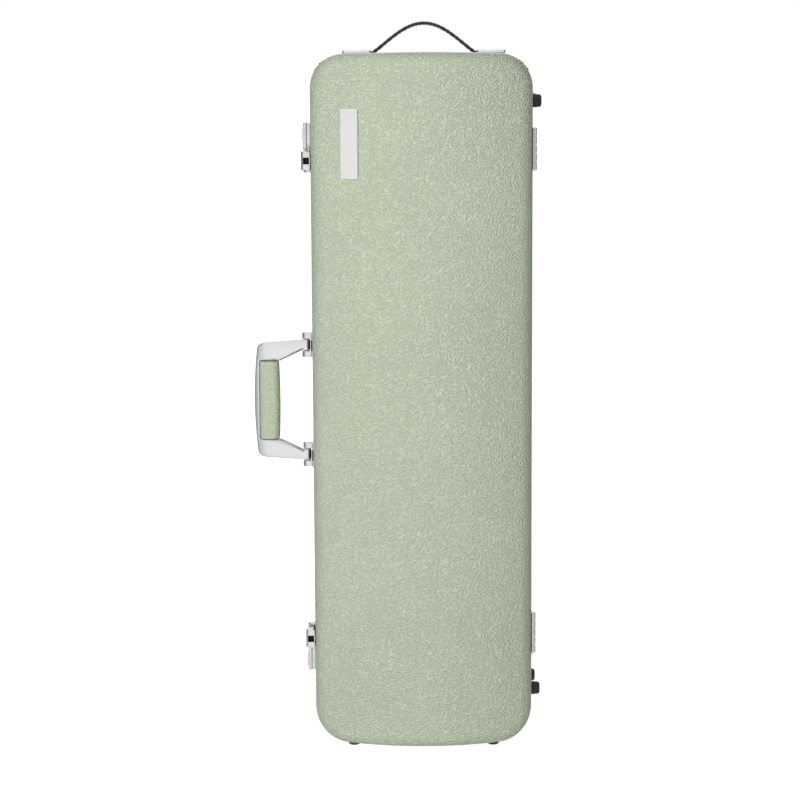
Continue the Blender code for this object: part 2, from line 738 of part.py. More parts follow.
def make_handle():
    """A cast frame with a leather grip, turning on pins through two brackets on the base."""
    outside, inside = half_frame_outline()
    lower_outside = [(x, -z) for x, z in reversed(outside[:-1])]
    lower_inside = [(x, -z) for x, z in inside]
    outline = outside + lower_outside + lower_inside[::-1] + inside
    frame = outline_solid(outline, HANDLE_DEPTH, (0.0, HANDLE_Y, MIDDLE_Z), upright=True)
    frame = part("handle_frame", frame, CAST_ALLOY, HANDLE)
    bevel(frame, HANDLE_BEVEL, 2)
    arm_middle = (HANDLE_OUTER_SPAN - HANDLE_ARM_WIDTH) / 2
    bore_radius = HANDLE_PIN_RADIUS + GAP
    for side in (-1, 1):
        centre = (HANDLE_AXIS_X, HANDLE_Y, MIDDLE_Z + side * arm_middle)
        join(frame, rod(HANDLE_DEPTH / 2, centre, HANDLE_ARM_WIDTH))
        cut(frame, rod(bore_radius, centre, HANDLE_ARM_WIDTH + CUT_OVERRUN, steps=SMALL_ROUND_STEPS))

    grip_left = -SHELL_HALF - HANDLE_REACH + HANDLE_SPINE + GAP
    grip = box(
        (grip_left, grip_left + GRIP_WIDTH),
        (HANDLE_Y - GRIP_DEPTH / 2, HANDLE_Y + GRIP_DEPTH / 2),
        (MIDDLE_Z - GRIP_LENGTH / 2, MIDDLE_Z + GRIP_LENGTH / 2),
    )
    bmesh.ops.bevel(
        grip,
        geom=[e for e in grip.edges if abs(e.verts[0].co.z - e.verts[1].co.z) > GRIP_DEPTH],
        offset=GRIP_BEVEL,
        segments=3,
        profile=0.5,
        affect="EDGES",
    )
    part("handle_grip", grip, GRIP_LEATHER, HANDLE)

    for side, word in ((-1, "lower"), (1, "upper")):
        middle = MIDDLE_Z + side * arm_middle
        lug_gap = HANDLE_ARM_WIDTH / 2 + RUNNING_GAP
        half_height = lug_gap + LUG_THICKNESS
        back = -SHELL_HALF - GAP
        half_width = BRACKET_WIDTH / 2
        bracket = wall_pad(
            back - BRACKET_PLATE,
            (HANDLE_Y - half_width, HANDLE_Y + half_width),
            (middle - half_height, middle + half_height),
        )
        bracket = part(f"handle_bracket_{word}", bracket, CAST_ALLOY)
        bevel(bracket, BRACKET_BEVEL)
        pivot = (HANDLE_AXIS_X, HANDLE_Y)
        inside_plate = back - BRACKET_PLATE / 2
        lug = [(inside_plate, HANDLE_Y - LUG_RADIUS)]
        lug += arc(pivot, LUG_RADIUS, 270, 90, TURN_STEPS + 1)
        lug += [(inside_plate, HANDLE_Y + LUG_RADIUS)]
        for end in (-1, 1):
            lug_middle = middle + end * (lug_gap + LUG_THICKNESS / 2)
            join(bracket, outline_solid(lug, LUG_THICKNESS, (0.0, 0.0, lug_middle)))
        length = 2 * half_height
        centre = (HANDLE_AXIS_X, HANDLE_Y, middle)
        cut(bracket, rod(bore_radius, centre, length + CUT_OVERRUN, steps=SMALL_ROUND_STEPS))
        pin = rod(HANDLE_PIN_RADIUS, centre, length - 2 * GAP, steps=SMALL_ROUND_STEPS)
        part(f"handle_pin_{word}", pin, PLATED_STEEL)


# Latches


def make_latch(side, word):
    """One latch, above the case's middle for side 1 and below it for -1. Its housing is towards the end."""

    def heights(low, high):
        return sorted((MIDDLE_Z + side * low, MIDDLE_Z + side * high))

    wall_x = -SHELL_HALF - GAP
    plate_x = wall_x - LATCH_PLATE
    housing_x = wall_x - LATCH_HOUSING_OUT
    hasp_high = LATCH_HOUSING_LOW - GAP
    hasp_low = hasp_high - HASP_LENGTH
    lug_high = hasp_low - GAP
    lug_low = lug_high - LATCH_LUG
    lug_reach = HASP_BARREL_RADIUS

    housing_front = LATCH_HOUSING_FRONT + SHELL_EDGE
    inside_wall = -base_side(LATCH_HOUSING_BACK)
    housing = box(
        (housing_x, inside_wall),
        (housing_front, LATCH_HOUSING_BACK),
        heights(LATCH_HOUSING_LOW, LATCH_HOUSING_HIGH),
    )
    round_face(housing, housing_x, LATCH_BEVEL)
    housing = part(f"latch_housing_{word}", housing, CAST_ALLOY)
    plate_front = HASP_AXIS_Y + HASP_BARREL_RADIUS + RUNNING_GAP
    join(
        housing,
        box(
            (plate_x, inside_wall),
            (plate_front, LATCH_HOUSING_BACK - LATCH_BEVEL),
            heights(lug_low, LATCH_HOUSING_LOW + LATCH_LUG),
        ),
        box(
            (HASP_AXIS_X - lug_reach, inside_wall),
            (HASP_AXIS_Y - lug_reach, plate_front + LATCH_LUG),
            heights(lug_low, lug_high),
        ),
    )
    back = wall_and_gap(
        (housing_front - CUT_OVERRUN, LATCH_HOUSING_BACK + CUT_OVERRUN),
        heights(lug_low - CUT_OVERRUN, LATCH_HOUSING_HIGH + CUT_OVERRUN),
    )
    slot_half = THUMB_STEM_WIDTH / 2 + RUNNING_GAP
    slot_high = THUMB_MIDDLE + THUMB_STEM_LENGTH / 2 + RUNNING_GAP
    slot_low = THUMB_MIDDLE - THUMB_STEM_LENGTH / 2 - THUMB_TRAVEL - RUNNING_GAP
    slot = box(
        (housing_x - CUT_OVERRUN, housing_x + THUMB_SLOT_DEPTH),
        (THUMB_SLOT_Y - slot_half, THUMB_SLOT_Y + slot_half),
        heights(slot_low, slot_high),
    )
    pin_low = lug_low + GAP
    pin_high = LATCH_HOUSING_LOW + LATCH_LUG
    pin_middle = MIDDLE_Z + side * (pin_low + pin_high) / 2
    pin_centre = (HASP_AXIS_X, HASP_AXIS_Y, pin_middle)
    pin_length = pin_high - pin_low
    bore_radius = HASP_PIN_RADIUS + GAP
    bore = rod(bore_radius, pin_centre, pin_length + LATCH_LUG, steps=SMALL_ROUND_STEPS)
    cut(housing, back, slot, bore)
    pin = rod(HASP_PIN_RADIUS, pin_centre, pin_length, steps=SMALL_ROUND_STEPS)
    part(f"hasp_pin_{word}", pin, PLATED_STEEL)

    slide = carrier(f"thumb_slide_{word}", housing_x, THUMB_SLOT_Y, MIDDLE_Z + side * THUMB_MIDDLE, CASE)
    half_width, half_length = THUMB_WIDTH / 2, THUMB_LENGTH / 2
    head = box(
        (housing_x - GAP - THUMB_OUT, housing_x - GAP),
        (THUMB_SLOT_Y - half_width, THUMB_SLOT_Y + half_width),
        heights(THUMB_MIDDLE - half_length, THUMB_MIDDLE + half_length),
    )
    thumb = part(f"latch_thumb_{word}", head, CAST_ALLOY, slide)
    bevel(thumb, LATCH_BEVEL)
    stem_half = THUMB_STEM_WIDTH / 2
    stem = box(
        (housing_x - THUMB_OUT / 2, housing_x + THUMB_SLOT_DEPTH - GAP),
        (THUMB_SLOT_Y - stem_half, THUMB_SLOT_Y + stem_half),
        heights(THUMB_MIDDLE - THUMB_STEM_LENGTH / 2, THUMB_MIDDLE + THUMB_STEM_LENGTH / 2),
    )
    join(thumb, stem)

    turn = carrier(f"hasp_axis_{word}", HASP_AXIS_X, HASP_AXIS_Y, pin_middle, CASE)
    inner = -SHELL_HALF - HASP_LIFT
    outer = -SHELL_HALF - HASP_OUT
    front = -HASP_FRONT
    profile = [
        (inner, front),
        (outer + HASP_CHAMFER / 2, front),
        (outer, front + HASP_CHAMFER),
        (outer, HASP_AXIS_Y - HASP_CHAMFER),
        (HASP_AXIS_X - HASP_BARREL_RADIUS, HASP_AXIS_Y),
    ]
    meets_inner = math.degrees(math.acos((inner - HASP_AXIS_X) / HASP_BARREL_RADIUS))
    profile += arc((HASP_AXIS_X, HASP_AXIS_Y), HASP_BARREL_RADIUS, 150, -meets_inner, TURN_STEPS + 2)
    hasp_middle = (hasp_low + hasp_high) / 2
    hasp = outline_solid(profile, HASP_LENGTH - RUNNING_GAP, (0.0, 0.0, MIDDLE_Z + side * hasp_middle))
    hasp = part(f"hasp_{word}", hasp, CAST_ALLOY, turn)
    bevel(hasp, LATCH_BEVEL)
    cavity_half = HASP_LENGTH / 2 - HASP_WALL
    window_half = HASP_WINDOW / 2
    cavity = box(
        (outer + HASP_ROOF, inner + CUT_OVERRUN),
        (front + HASP_WALL, HASP_AXIS_Y - HASP_BARREL_RADIUS - HASP_WALL / 2),
        heights(hasp_middle - cavity_half, hasp_middle + cavity_half),
    )
    window = box(
        (outer + HASP_ROOF, inner + CUT_OVERRUN),
        (front - CUT_OVERRUN, front + 2 * HASP_WALL),
        heights(hasp_middle - window_half, hasp_middle + window_half),
    )
    barrel_centre = (HASP_AXIS_X, HASP_AXIS_Y, MIDDLE_Z + side * hasp_middle)
    barrel_bore = rod(bore_radius, barrel_centre, HASP_LENGTH + CUT_OVERRUN, steps=SMALL_ROUND_STEPS)
    cut(hasp, cavity, window, barrel_bore)

    plate_half = KEEPER_PLATE_LENGTH / 2
    post_half = KEEPER_POST_WIDTH / 2
    keeper = box(
        (wall_x - RIM_PROUD - KEEPER_PLATE + GAP, wall_x - RIM_PROUD),
        (-KEEPER_PLATE_FRONT, -KEEPER_PLATE_BACK),
        heights(hasp_middle - plate_half, hasp_middle + plate_half),
    )
    keeper = part(f"latch_keeper_{word}", keeper, PLATED_STEEL, LID)
    bar_half = KEEPER_BAR_LENGTH / 2
    bar_x = -SHELL_HALF - KEEPER_POST_OUT
    post_back = -KEEPER_PLATE_BACK - RUNNING_GAP
    join(
        keeper,
        box(
            (bar_x + KEEPER_BAR_THICKNESS / 2, wall_x - RIM_PROUD - KEEPER_PLATE / 2),
            (-KEEPER_POST_FRONT, post_back),
            heights(hasp_middle - post_half, hasp_middle + post_half),
        ),
        box(
            (bar_x, bar_x + KEEPER_BAR_THICKNESS),
            (-KEEPER_BAR_FRONT, post_back - RUNNING_GAP),
            heights(hasp_middle - bar_half, hasp_middle + bar_half),
        ),
    )


# Hinges


def make_hinge(place, word):
    """A butt hinge: a leaf on each shell, knuckles that take turns along the pin, and the pin."""
    middle = MIDDLE_Z + place
    step = HINGE_LENGTH / KNUCKLE_COUNT
    back = HINGE_X - KNUCKLE_RADIUS
    face = back + LEAF_THICKNESS
    clear = KNUCKLE_RADIUS + RUNNING_GAP
    low = middle - HINGE_LENGTH / 2
    for name, toward, first, on in (("base", 1, 0, CASE), ("lid", -1, 1, LID)):
        near, far = sorted((toward * clear, toward * LEAF_WIDTH))
        leaf = part(
            f"hinge_leaf_{name}_{word}",
            box((back, face), (near, far), (low, low + HINGE_LENGTH)),
            PLATED_STEEL,
            on,
        )
        bevel(leaf, LEAF_BEVEL)
        for knuckle in range(first, KNUCKLE_COUNT, 2):
            start = low + knuckle * step + RUNNING_GAP / 2
            length = step - RUNNING_GAP
            reach = sorted((0.0, toward * (clear + LEAF_THICKNESS)))
            join(
                leaf,
                box((back, face), reach, (start, start + length)),
                rod(KNUCKLE_RADIUS, (HINGE_X, 0.0, start + length / 2), length, steps=SMALL_ROUND_STEPS),
            )
        bore = rod(
            HINGE_PIN_RADIUS + GAP,
            (HINGE_X, 0.0, middle),
            HINGE_LENGTH + CUT_OVERRUN,
            steps=SMALL_ROUND_STEPS,
        )
        cut(leaf, bore)
    pin = rod(HINGE_PIN_RADIUS, (HINGE_X, 0.0, middle), HINGE_LENGTH, steps=SMALL_ROUND_STEPS)
    part(f"hinge_pin_{word}", pin, PLATED_STEEL)


# Inside of the base

# Half outline of the violin's hollow: shares of its length from the lower end, and of its half width
VIOLIN_OUTLINE_SHARES = (
    (0.00, 0.00),
    (0.01, 0.42),
    (0.07, 0.80),
    (0.20, 1.00),
    (0.33, 0.88),
    (0.43, 0.66),
    (0.54, 0.58),
    (0.64, 0.64),
    (0.73, 0.80),
    (0.83, 0.84),
    (0.93, 0.66),
    (0.99, 0.30),
)


def smooth_line(points, steps):
    """A smooth line through points, on cubic stretches whose slopes follow the neighbours."""
    line = []
    last = len(points) - 1
    for i in range(last):
        before, start, end, after = (points[max(0, min(last, i + k))] for k in (-1, 0, 1, 2))
        for step in range(steps):
            t = step / steps
            row = []
            for a, b, c, d in zip(before, start, end, after):
                bend = 2 * a - 5 * b + 4 * c - d
                turn = 3 * (b - c) + d - a
                row.append(b + ((c - a) * t + bend * t**2 + turn * t**3) / 2)
            line.append(tuple(row))
    line.append(points[last])
    return line


def violin_outline():
    """The hollow's outline as (x, z), body and the start of the neck, both halves."""
    half = [
        (width * VIOLIN_HALF_WIDTH, VIOLIN_LOW + along * VIOLIN_LENGTH)
        for along, width in smooth_line(VIOLIN_OUTLINE_SHARES, VIOLIN_STEPS)
    ]
    half[-1] = (NECK_HALF_WIDTH, BODY_TOP)
    left = [(-x, z) for x, z in reversed(half[1:])]
    return half + left


def pocket(half_width, low, high, depth, middle_x=0.0):
    """A box that opens the cushion's front between two heights from the case's middle."""
    return box(
        (middle_x - half_width, middle_x + half_width),
        (CUSHION_TOP - CUT_OVERRUN, CUSHION_TOP + depth),
        (MIDDLE_Z + low, MIDDLE_Z + high),
    )


def violin_hollow():
    middle_y = CUSHION_TOP + (VIOLIN_DEPTH - CUT_OVERRUN) / 2
    depth = VIOLIN_DEPTH + CUT_OVERRUN
    return outline_solid(violin_outline(), depth, (0.0, middle_y, MIDDLE_Z), upright=True)


def neck_hollow():
    return pocket(NECK_HALF_WIDTH, BODY_TOP - CUT_OVERRUN, NECK_TOP + CUT_OVERRUN, NECK_DEPTH)


def pegbox_hollow():
    return pocket(PEGBOX_HALF_WIDTH, NECK_TOP - CUT_OVERRUN, PEGBOX_TOP, PEGBOX_DEPTH)


def side_hollows():
    """The side tray's hollow, and the open shelf across the neck from it."""
    middle = (TRAY_INNER_X + TRAY_OUTER_X) / 2
    half = (TRAY_OUTER_X - TRAY_INNER_X) / 2
    tray = pocket(half + GAP, TRAY_LOW - GAP, TRAY_HIGH + GAP, TRAY_DEPTH + GAP, middle)
    return tray, pocket(half, TRAY_LOW, TRAY_HIGH, SHELF_DEPTH, -middle)


def end_hollow():
    return pocket(
        END_TRAY_HALF_WIDTH + GAP, END_TRAY_LOW - GAP, END_TRAY_HIGH + GAP, END_TRAY_DEPTH + GAP
    )


def cut_off(shape, place, direction):
    """Takes off what lies beyond a plane, and closes the cut."""
    everything = shape.verts[:] + shape.edges[:] + shape.faces[:]
    bmesh.ops.bisect_plane(shape, geom=everything, plane_co=place, plane_no=direction, clear_outer=True)
    rim = [e for e in shape.edges if e.is_boundary]
    if rim:
        bmesh.ops.contextual_create(shape, geom=rim)
    bmesh.ops.recalc_face_normals(shape, faces=shape.faces)


def make_cushion():
    """Plush-covered foam blocks, end to end, that fill the base and hold the hollows."""
    waist = VIOLIN_LOW + WAIST_SHARE * VIOLIN_LENGTH
    divider = (PEGBOX_TOP + END_TRAY_LOW) / 2
    for name, low, high, hollows in (
        ("cushion_lower_bout", -SHELL_LENGTH, waist, (violin_hollow(),)),
        ("cushion_upper_bout", waist, BODY_TOP, (violin_hollow(),)),
        ("cushion_neck", BODY_TOP, NECK_TOP, (neck_hollow(), *side_hollows())),
        ("cushion_head", NECK_TOP, divider, (pegbox_hollow(), *side_hollows())),
        ("cushion_end", divider, SHELL_LENGTH, (end_hollow(),)),
    ):
        block = shrunk(base_surface(), LINING_DEPTH)
        cut_off(block, (0.0, CUSHION_TOP, 0.0), (0.0, -1.0, 0.0))
        cut_off(block, (0.0, 0.0, MIDDLE_Z + low + GAP / 2), (0.0, 0.0, -1.0))
        cut_off(block, (0.0, 0.0, MIDDLE_Z + high - GAP / 2), (0.0, 0.0, 1.0))
        cut(part(name, block, PLUSH), *hollows)


def make_trays():
    """Two open trays let into the cushion, and a flap over the one beside the neck."""
    tray_middle = (TRAY_INNER_X + TRAY_OUTER_X) / 2
    tray_half = (TRAY_OUTER_X - TRAY_INNER_X) / 2
    sizes = (
        ("side_tray", tray_middle, tray_half, TRAY_LOW, TRAY_HIGH, TRAY_DEPTH),
        ("end_tray", 0.0, END_TRAY_HALF_WIDTH, END_TRAY_LOW, END_TRAY_HIGH, END_TRAY_DEPTH),
    )
    for name, middle_x, half_width, low, high, depth in sizes:
        outer = box(
            (middle_x - half_width, middle_x + half_width),
            (CUSHION_TOP, CUSHION_TOP + depth),
            (MIDDLE_Z + low, MIDDLE_Z + high),
        )
        tray = part(name, outer, LINING_CLOTH)
        inside = half_width - TRAY_WALL
        cut(tray, pocket(inside, low + TRAY_WALL, high - TRAY_WALL, depth - TRAY_WALL, middle_x))

    lift = CUSHION_TOP - GAP
    radius = FLAP_THICKNESS / 2
    middle_y = lift - radius
    left = TRAY_INNER_X
    profile = arc((left, middle_y), radius, 90, 270, TURN_STEPS)
    profile += [(left + FLAP_WIDTH, lift - FLAP_THICKNESS), (left + FLAP_WIDTH, lift)]
    length = TRAY_HIGH - TRAY_LOW - 2 * GAP
    middle_z = MIDDLE_Z + (TRAY_HIGH + TRAY_LOW) / 2
    part("tray_flap", outline_solid(profile, length, (0.0, 0.0, middle_z)), PLUSH, FLAP)
    half_tab = FLAP_TAB_WIDTH / 2
    tab_start = left + FLAP_WIDTH - FLAP_TAB_LENGTH
    tab_top = lift - FLAP_THICKNESS - GAP
    tab = box(
        (tab_start, tab_start + FLAP_TAB_LENGTH),
        (tab_top - FLAP_TAB_THICKNESS, tab_top),
        (middle_z - half_tab, middle_z + half_tab),
    )
    part("flap_tab", tab, STRAP_LEATHER, FLAP)


def make_neck_rest():
    """A notched pad in the neck's hollow, and a strap that lies over the hollow."""
    floor = CUSHION_TOP + NECK_DEPTH
    half_length = CRADLE_LENGTH / 2
    low, high = MIDDLE_Z + CRADLE_Z - half_length, MIDDLE_Z + CRADLE_Z + half_length
    half_width = NECK_HALF_WIDTH - GAP
    top = floor - CRADLE_RISE
    cradle = part("neck_cradle", box((-half_width, half_width), (top, floor - GAP), (low, high)), PLUSH)
    notch = rod(CRADLE_NOTCH_RADIUS, (0.0, top, (low + high) / 2), CRADLE_LENGTH + CUT_OVERRUN)
    cut(cradle, notch)
    shape = bmesh.new()
    half_strap = NECK_STRAP_WIDTH / 2
    rows = []
    for z in (MIDDLE_Z + CRADLE_Z - half_strap, MIDDLE_Z + CRADLE_Z + half_strap):
        row = []
        for step in range(ARCH_STEPS * 2 + 1):
            share = step / ARCH_STEPS - 1
            x = NECK_STRAP_HALF_LENGTH * share
            bump = NECK_STRAP_BUMP * max(0.0, math.cos(math.pi / 2 * x / NECK_HALF_WIDTH))
            if abs(x) > NECK_HALF_WIDTH:
                bump = 0.0
            row.append(shape.verts.new((x, CUSHION_TOP - GAP - bump, z)))
        rows.append(row)
    skin(shape, rows, closed=False)
    strap = part("neck_strap", shape, STRAP_LEATHER)
    wall(strap, NECK_STRAP_THICKNESS)
    strap.modifiers["Wall"].offset = 1


# Inside of the lid


def lining_arch(x, clearance):
    """The place in Y of the lining's inner face at x, moved towards the base by a clearance."""
    sag = LID_CROWN - LID_SIDE
    radius = (SHELL_HALF**2 + sag**2) / (2 * sag)
    centre_y = radius - LID_CROWN
    inner = radius - LINING_DEPTH - LINING_THICKNESS - clearance
    return centre_y - math.sqrt(inner**2 - x**2)


def make_lining():
    lining = part("lid_lining", shrunk(lid_surface(), LINING_DEPTH), LINING_CLOTH, LID)
    wall(lining, LINING_THICKNESS)


def make_bow_holders(side, word):
    """A notched rest with a turning clip for the bow's stick, and a loop for its tip."""
    middle = side * BOW_X
    half = BOW_REST_WIDTH / 2
    top = -BOW_REST_TOP
    seat = [middle + half * (1 - 2 * step / ARCH_STEPS) for step in range(ARCH_STEPS + 1)]
    profile = [(middle - half, top), (middle + half, top)]
    profile += [(x, lining_arch(x, GAP)) for x in seat]
    centre_z = MIDDLE_Z + BOW_REST_Z
    rest = part(
        f"bow_rest_{word}",
        outline_solid(profile, BOW_REST_LENGTH, (0.0, 0.0, centre_z)),
        PLUSH,
        LID,
    )
    notch_x = middle + side * BOW_NOTCH_OFFSET
    pivot_x = middle - side * CLIP_OFFSET
    clip_low = top + GAP
    clip_high = clip_low + CLIP_THICKNESS
    stem_end = top - CLIP_STEM_LENGTH
    stem_middle = (pivot_x, (stem_end + clip_high) / 2, centre_z)
    stem_length = clip_high - stem_end
    cut(
        rest,
        rod(BOW_NOTCH_RADIUS, (notch_x, top, centre_z), BOW_REST_LENGTH + CUT_OVERRUN),
        rod(CLIP_STEM_RADIUS + GAP, stem_middle, stem_length + 2 * GAP, axis="Y", steps=SMALL_ROUND_STEPS),
    )
    axis = carrier(f"bow_clip_axis_{word}", pivot_x, top, centre_z, LID)
    clip_middle = (clip_low + clip_high) / 2
    disc = rod(CLIP_RADIUS, (pivot_x, clip_middle, centre_z), CLIP_THICKNESS, axis="Y", steps=ROUND_STEPS)
    clip = part(f"bow_clip_{word}", disc, DARK_PLASTIC, axis)
    arm = box(
        sorted((pivot_x, pivot_x + side * CLIP_REACH)),
        (clip_low, clip_high),
        (centre_z - CLIP_HALF_WIDTH, centre_z + CLIP_HALF_WIDTH),
    )
    stem = rod(CLIP_STEM_RADIUS, stem_middle, stem_length, axis="Y", steps=SMALL_ROUND_STEPS)
    join(clip, arm, stem)

    loop_z = MIDDLE_Z + LOOP_Z
    outer = LOOP_RADIUS
    inner = LOOP_RADIUS - LOOP_THICKNESS
    foot_y = max(lining_arch(middle - outer, GAP), lining_arch(middle + outer, GAP))
    band = arc((middle, foot_y), outer, 0, 180, LOOP_STEPS)
    band += [(x, lining_arch(x, GAP)) for x in (middle - outer, middle - inner)]
    band += arc((middle, foot_y), inner, 180, 0, LOOP_STEPS)
    band += [(x, lining_arch(x, GAP)) for x in (middle + inner, middle + outer)]
    part(f"bow_loop_{word}", outline_solid(band, LOOP_LENGTH, (0.0, 0.0, loop_z)), STRAP_LEATHER, LID)


make_shells()
make_rims()
make_feet()
make_top_strap()
make_lid_plate()
make_handle()
make_cushion()
make_trays()
make_neck_rest()
make_lining()
for sign, ending in ((1, "upper"), (-1, "lower")):
    make_latch(sign, ending)
make_hinge(HINGE_UPPER_Z, "upper")
make_hinge(HINGE_LOWER_Z, "lower")
for sign, ending in ((-1, "left"), (1, "right")):
    make_bow_holders(sign, ending)
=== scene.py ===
"""A violin case in sage leatherette with satin alloy fittings, standing on its lower end."""

import math

import bmesh
import bpy
from mathutils import Matrix, Quaternion, Vector


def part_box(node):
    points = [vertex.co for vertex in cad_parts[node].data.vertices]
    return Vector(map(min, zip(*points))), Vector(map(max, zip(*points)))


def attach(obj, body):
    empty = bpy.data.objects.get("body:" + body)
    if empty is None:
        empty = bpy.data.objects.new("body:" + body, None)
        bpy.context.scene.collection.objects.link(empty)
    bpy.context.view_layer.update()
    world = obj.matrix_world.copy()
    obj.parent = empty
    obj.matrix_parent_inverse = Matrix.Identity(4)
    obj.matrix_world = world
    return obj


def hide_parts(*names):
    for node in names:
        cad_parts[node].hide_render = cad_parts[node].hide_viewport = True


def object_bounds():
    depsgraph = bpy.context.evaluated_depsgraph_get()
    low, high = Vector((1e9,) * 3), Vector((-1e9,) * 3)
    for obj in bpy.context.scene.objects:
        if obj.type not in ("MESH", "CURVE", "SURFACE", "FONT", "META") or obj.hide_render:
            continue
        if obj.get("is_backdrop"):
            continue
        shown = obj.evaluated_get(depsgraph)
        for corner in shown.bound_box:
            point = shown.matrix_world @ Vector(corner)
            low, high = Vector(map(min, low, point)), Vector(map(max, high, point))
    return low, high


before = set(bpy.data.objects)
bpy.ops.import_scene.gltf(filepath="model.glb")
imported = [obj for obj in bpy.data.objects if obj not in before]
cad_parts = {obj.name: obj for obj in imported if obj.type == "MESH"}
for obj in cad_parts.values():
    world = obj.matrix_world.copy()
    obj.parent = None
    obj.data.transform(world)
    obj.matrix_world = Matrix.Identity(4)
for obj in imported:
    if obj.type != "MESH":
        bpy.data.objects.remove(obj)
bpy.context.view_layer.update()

# The camera stands a few steps back and looks slightly down on the closed lid.
# Everything below is drawn from the case's own middle: x across, y from where lid and base meet, z along.
seal_low, seal_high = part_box("rim_seal")
lid_low, lid_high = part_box("lid_shell")
CASE = Vector(((lid_low.x + lid_high.x) / 2, (seal_low.y + seal_high.y) / 2, (lid_low.z + lid_high.z) / 2))

CAMERA_DISTANCE = 2.756
CAMERA_PITCH = math.radians(8.4)
CAMERA_ROLL = math.radians(-0.3)
CAMERA_LENS = 108.8
AIM_TO_HANDLE = 0.0256
AIM_ABOVE = 0.0018


def place_camera():
    data = bpy.data.cameras.new("front_camera")
    data.lens = CAMERA_LENS
    camera = bpy.data.objects.new("front_camera", data)
    bpy.context.scene.collection.objects.link(camera)
    back = Vector((0.0, -math.cos(CAMERA_PITCH), math.sin(CAMERA_PITCH)))
    camera.location = CASE + CAMERA_DISTANCE * back
    aim = CASE + Vector((-AIM_TO_HANDLE, 0.0, AIM_ABOVE))
    camera.rotation_mode = "QUATERNION"
    facing = (aim - camera.location).to_track_quat("-Z", "Y")
    camera.rotation_quaternion = facing @ Quaternion((0.0, 0.0, 1.0), CAMERA_ROLL)
    bpy.context.scene.camera = camera
    bpy.context.scene.view_settings.view_transform = "Standard"


place_camera()


# A plain white studio: a glow all round that falls off to the handle side, and three wide soft boxes.
# The floor and the surroundings show as white to the camera and in the metal.
GLOW = 0.45
SHOWN_WHITE = 1.15
GLOW_DARK_X = -1.0
GLOW_DARK_SHARE = 0.20
GLOW_FULL_X = -0.20
GLOW_FADE_X = -0.02
GLOW_EDGE_X = 0.95
GLOW_EDGE_SHARE = 0.16
FLAG_START = 0.05
FLAG_FULL = 0.30
FLAG_SHARE = 0.25
FLAG_EDGE = -0.45
FLAG_CLEAR = -0.25
# Each soft box has its name, its place from the case's middle, its side and its watts.
SOFT_BOXES = (
    ("key_box", (-1.4, -4.0, 1.15), 2.4, 142.0),
    ("fill_box", (2.2, -2.4, 0.5), 1.6, 1.5),
    ("back_box", (0.6, 3.0, 1.4), 2.0, 40.0),
)


def add_node(finish, kind, inputs=None, **settings):
    """Adds a shader node. An input given as a socket is linked, and any other is set."""
    made = finish.node_tree.nodes.new(kind)
    for name, value in settings.items():
        setattr(made, name, value)
    for name, value in (inputs or {}).items():
        if isinstance(value, bpy.types.NodeSocket):
            finish.node_tree.links.new(value, made.inputs[name])
        else:
            made.inputs[name].default_value = value
    return made


def maths(finish, operation, *inputs):
    return add_node(finish, "ShaderNodeMath", dict(enumerate(inputs)), operation=operation).outputs[0]


def vector_maths(finish, operation, first, second=None):
    """A sum on one vector or two, or a vector and its scale."""
    inputs = {0: first}
    if second is not None:
        inputs["Scale" if operation == "SCALE" else 1] = second
    return add_node(finish, "ShaderNodeVectorMath", inputs, operation=operation).outputs[0]


def remap(finish, value, from_span, to_span, smooth=False):
    """Carries a value from one span to another, straight or softened at both ends."""
    inputs = {"Value": value, "From Min": from_span[0], "From Max": from_span[1]}
    inputs.update({"To Min": to_span[0], "To Max": to_span[1]})
    kind = "SMOOTHSTEP" if smooth else "LINEAR"
    return add_node(finish, "ShaderNodeMapRange", inputs, interpolation_type=kind).outputs[0]


def side_falloff(finish, across):
    """The share of the glow left in a direction, from how far it points across."""
    to_left = remap(finish, across, (GLOW_DARK_X, GLOW_FULL_X), (GLOW_DARK_SHARE, 1.0))
    to_right = remap(finish, across, (GLOW_EDGE_X, GLOW_FADE_X), (GLOW_EDGE_SHARE, 1.0))
    return maths(finish, "MINIMUM", to_left, to_right)


def dark_flag(finish, across, behind):
    """A dark flag to the left and behind, which draws thin dark edges on the metal."""
    deep = remap(finish, behind, (FLAG_START, FLAG_FULL), (1.0, FLAG_SHARE))
    clear = remap(finish, across, (FLAG_EDGE, FLAG_CLEAR), (0.0, 1.0))
    return maths(finish, "MAXIMUM", deep, clear)


def soft_box(name, place, side, watts):
    data = bpy.data.lights.new(name, "AREA")
    data.size = side
    data.energy = watts
    lamp = bpy.data.objects.new(name, data)
    bpy.context.scene.collection.objects.link(lamp)
    lamp.location = CASE + Vector(place)
    lamp.rotation_mode = "QUATERNION"
    lamp.rotation_quaternion = (CASE - lamp.location).to_track_quat("-Z", "Y")
    lamp.visible_glossy = False


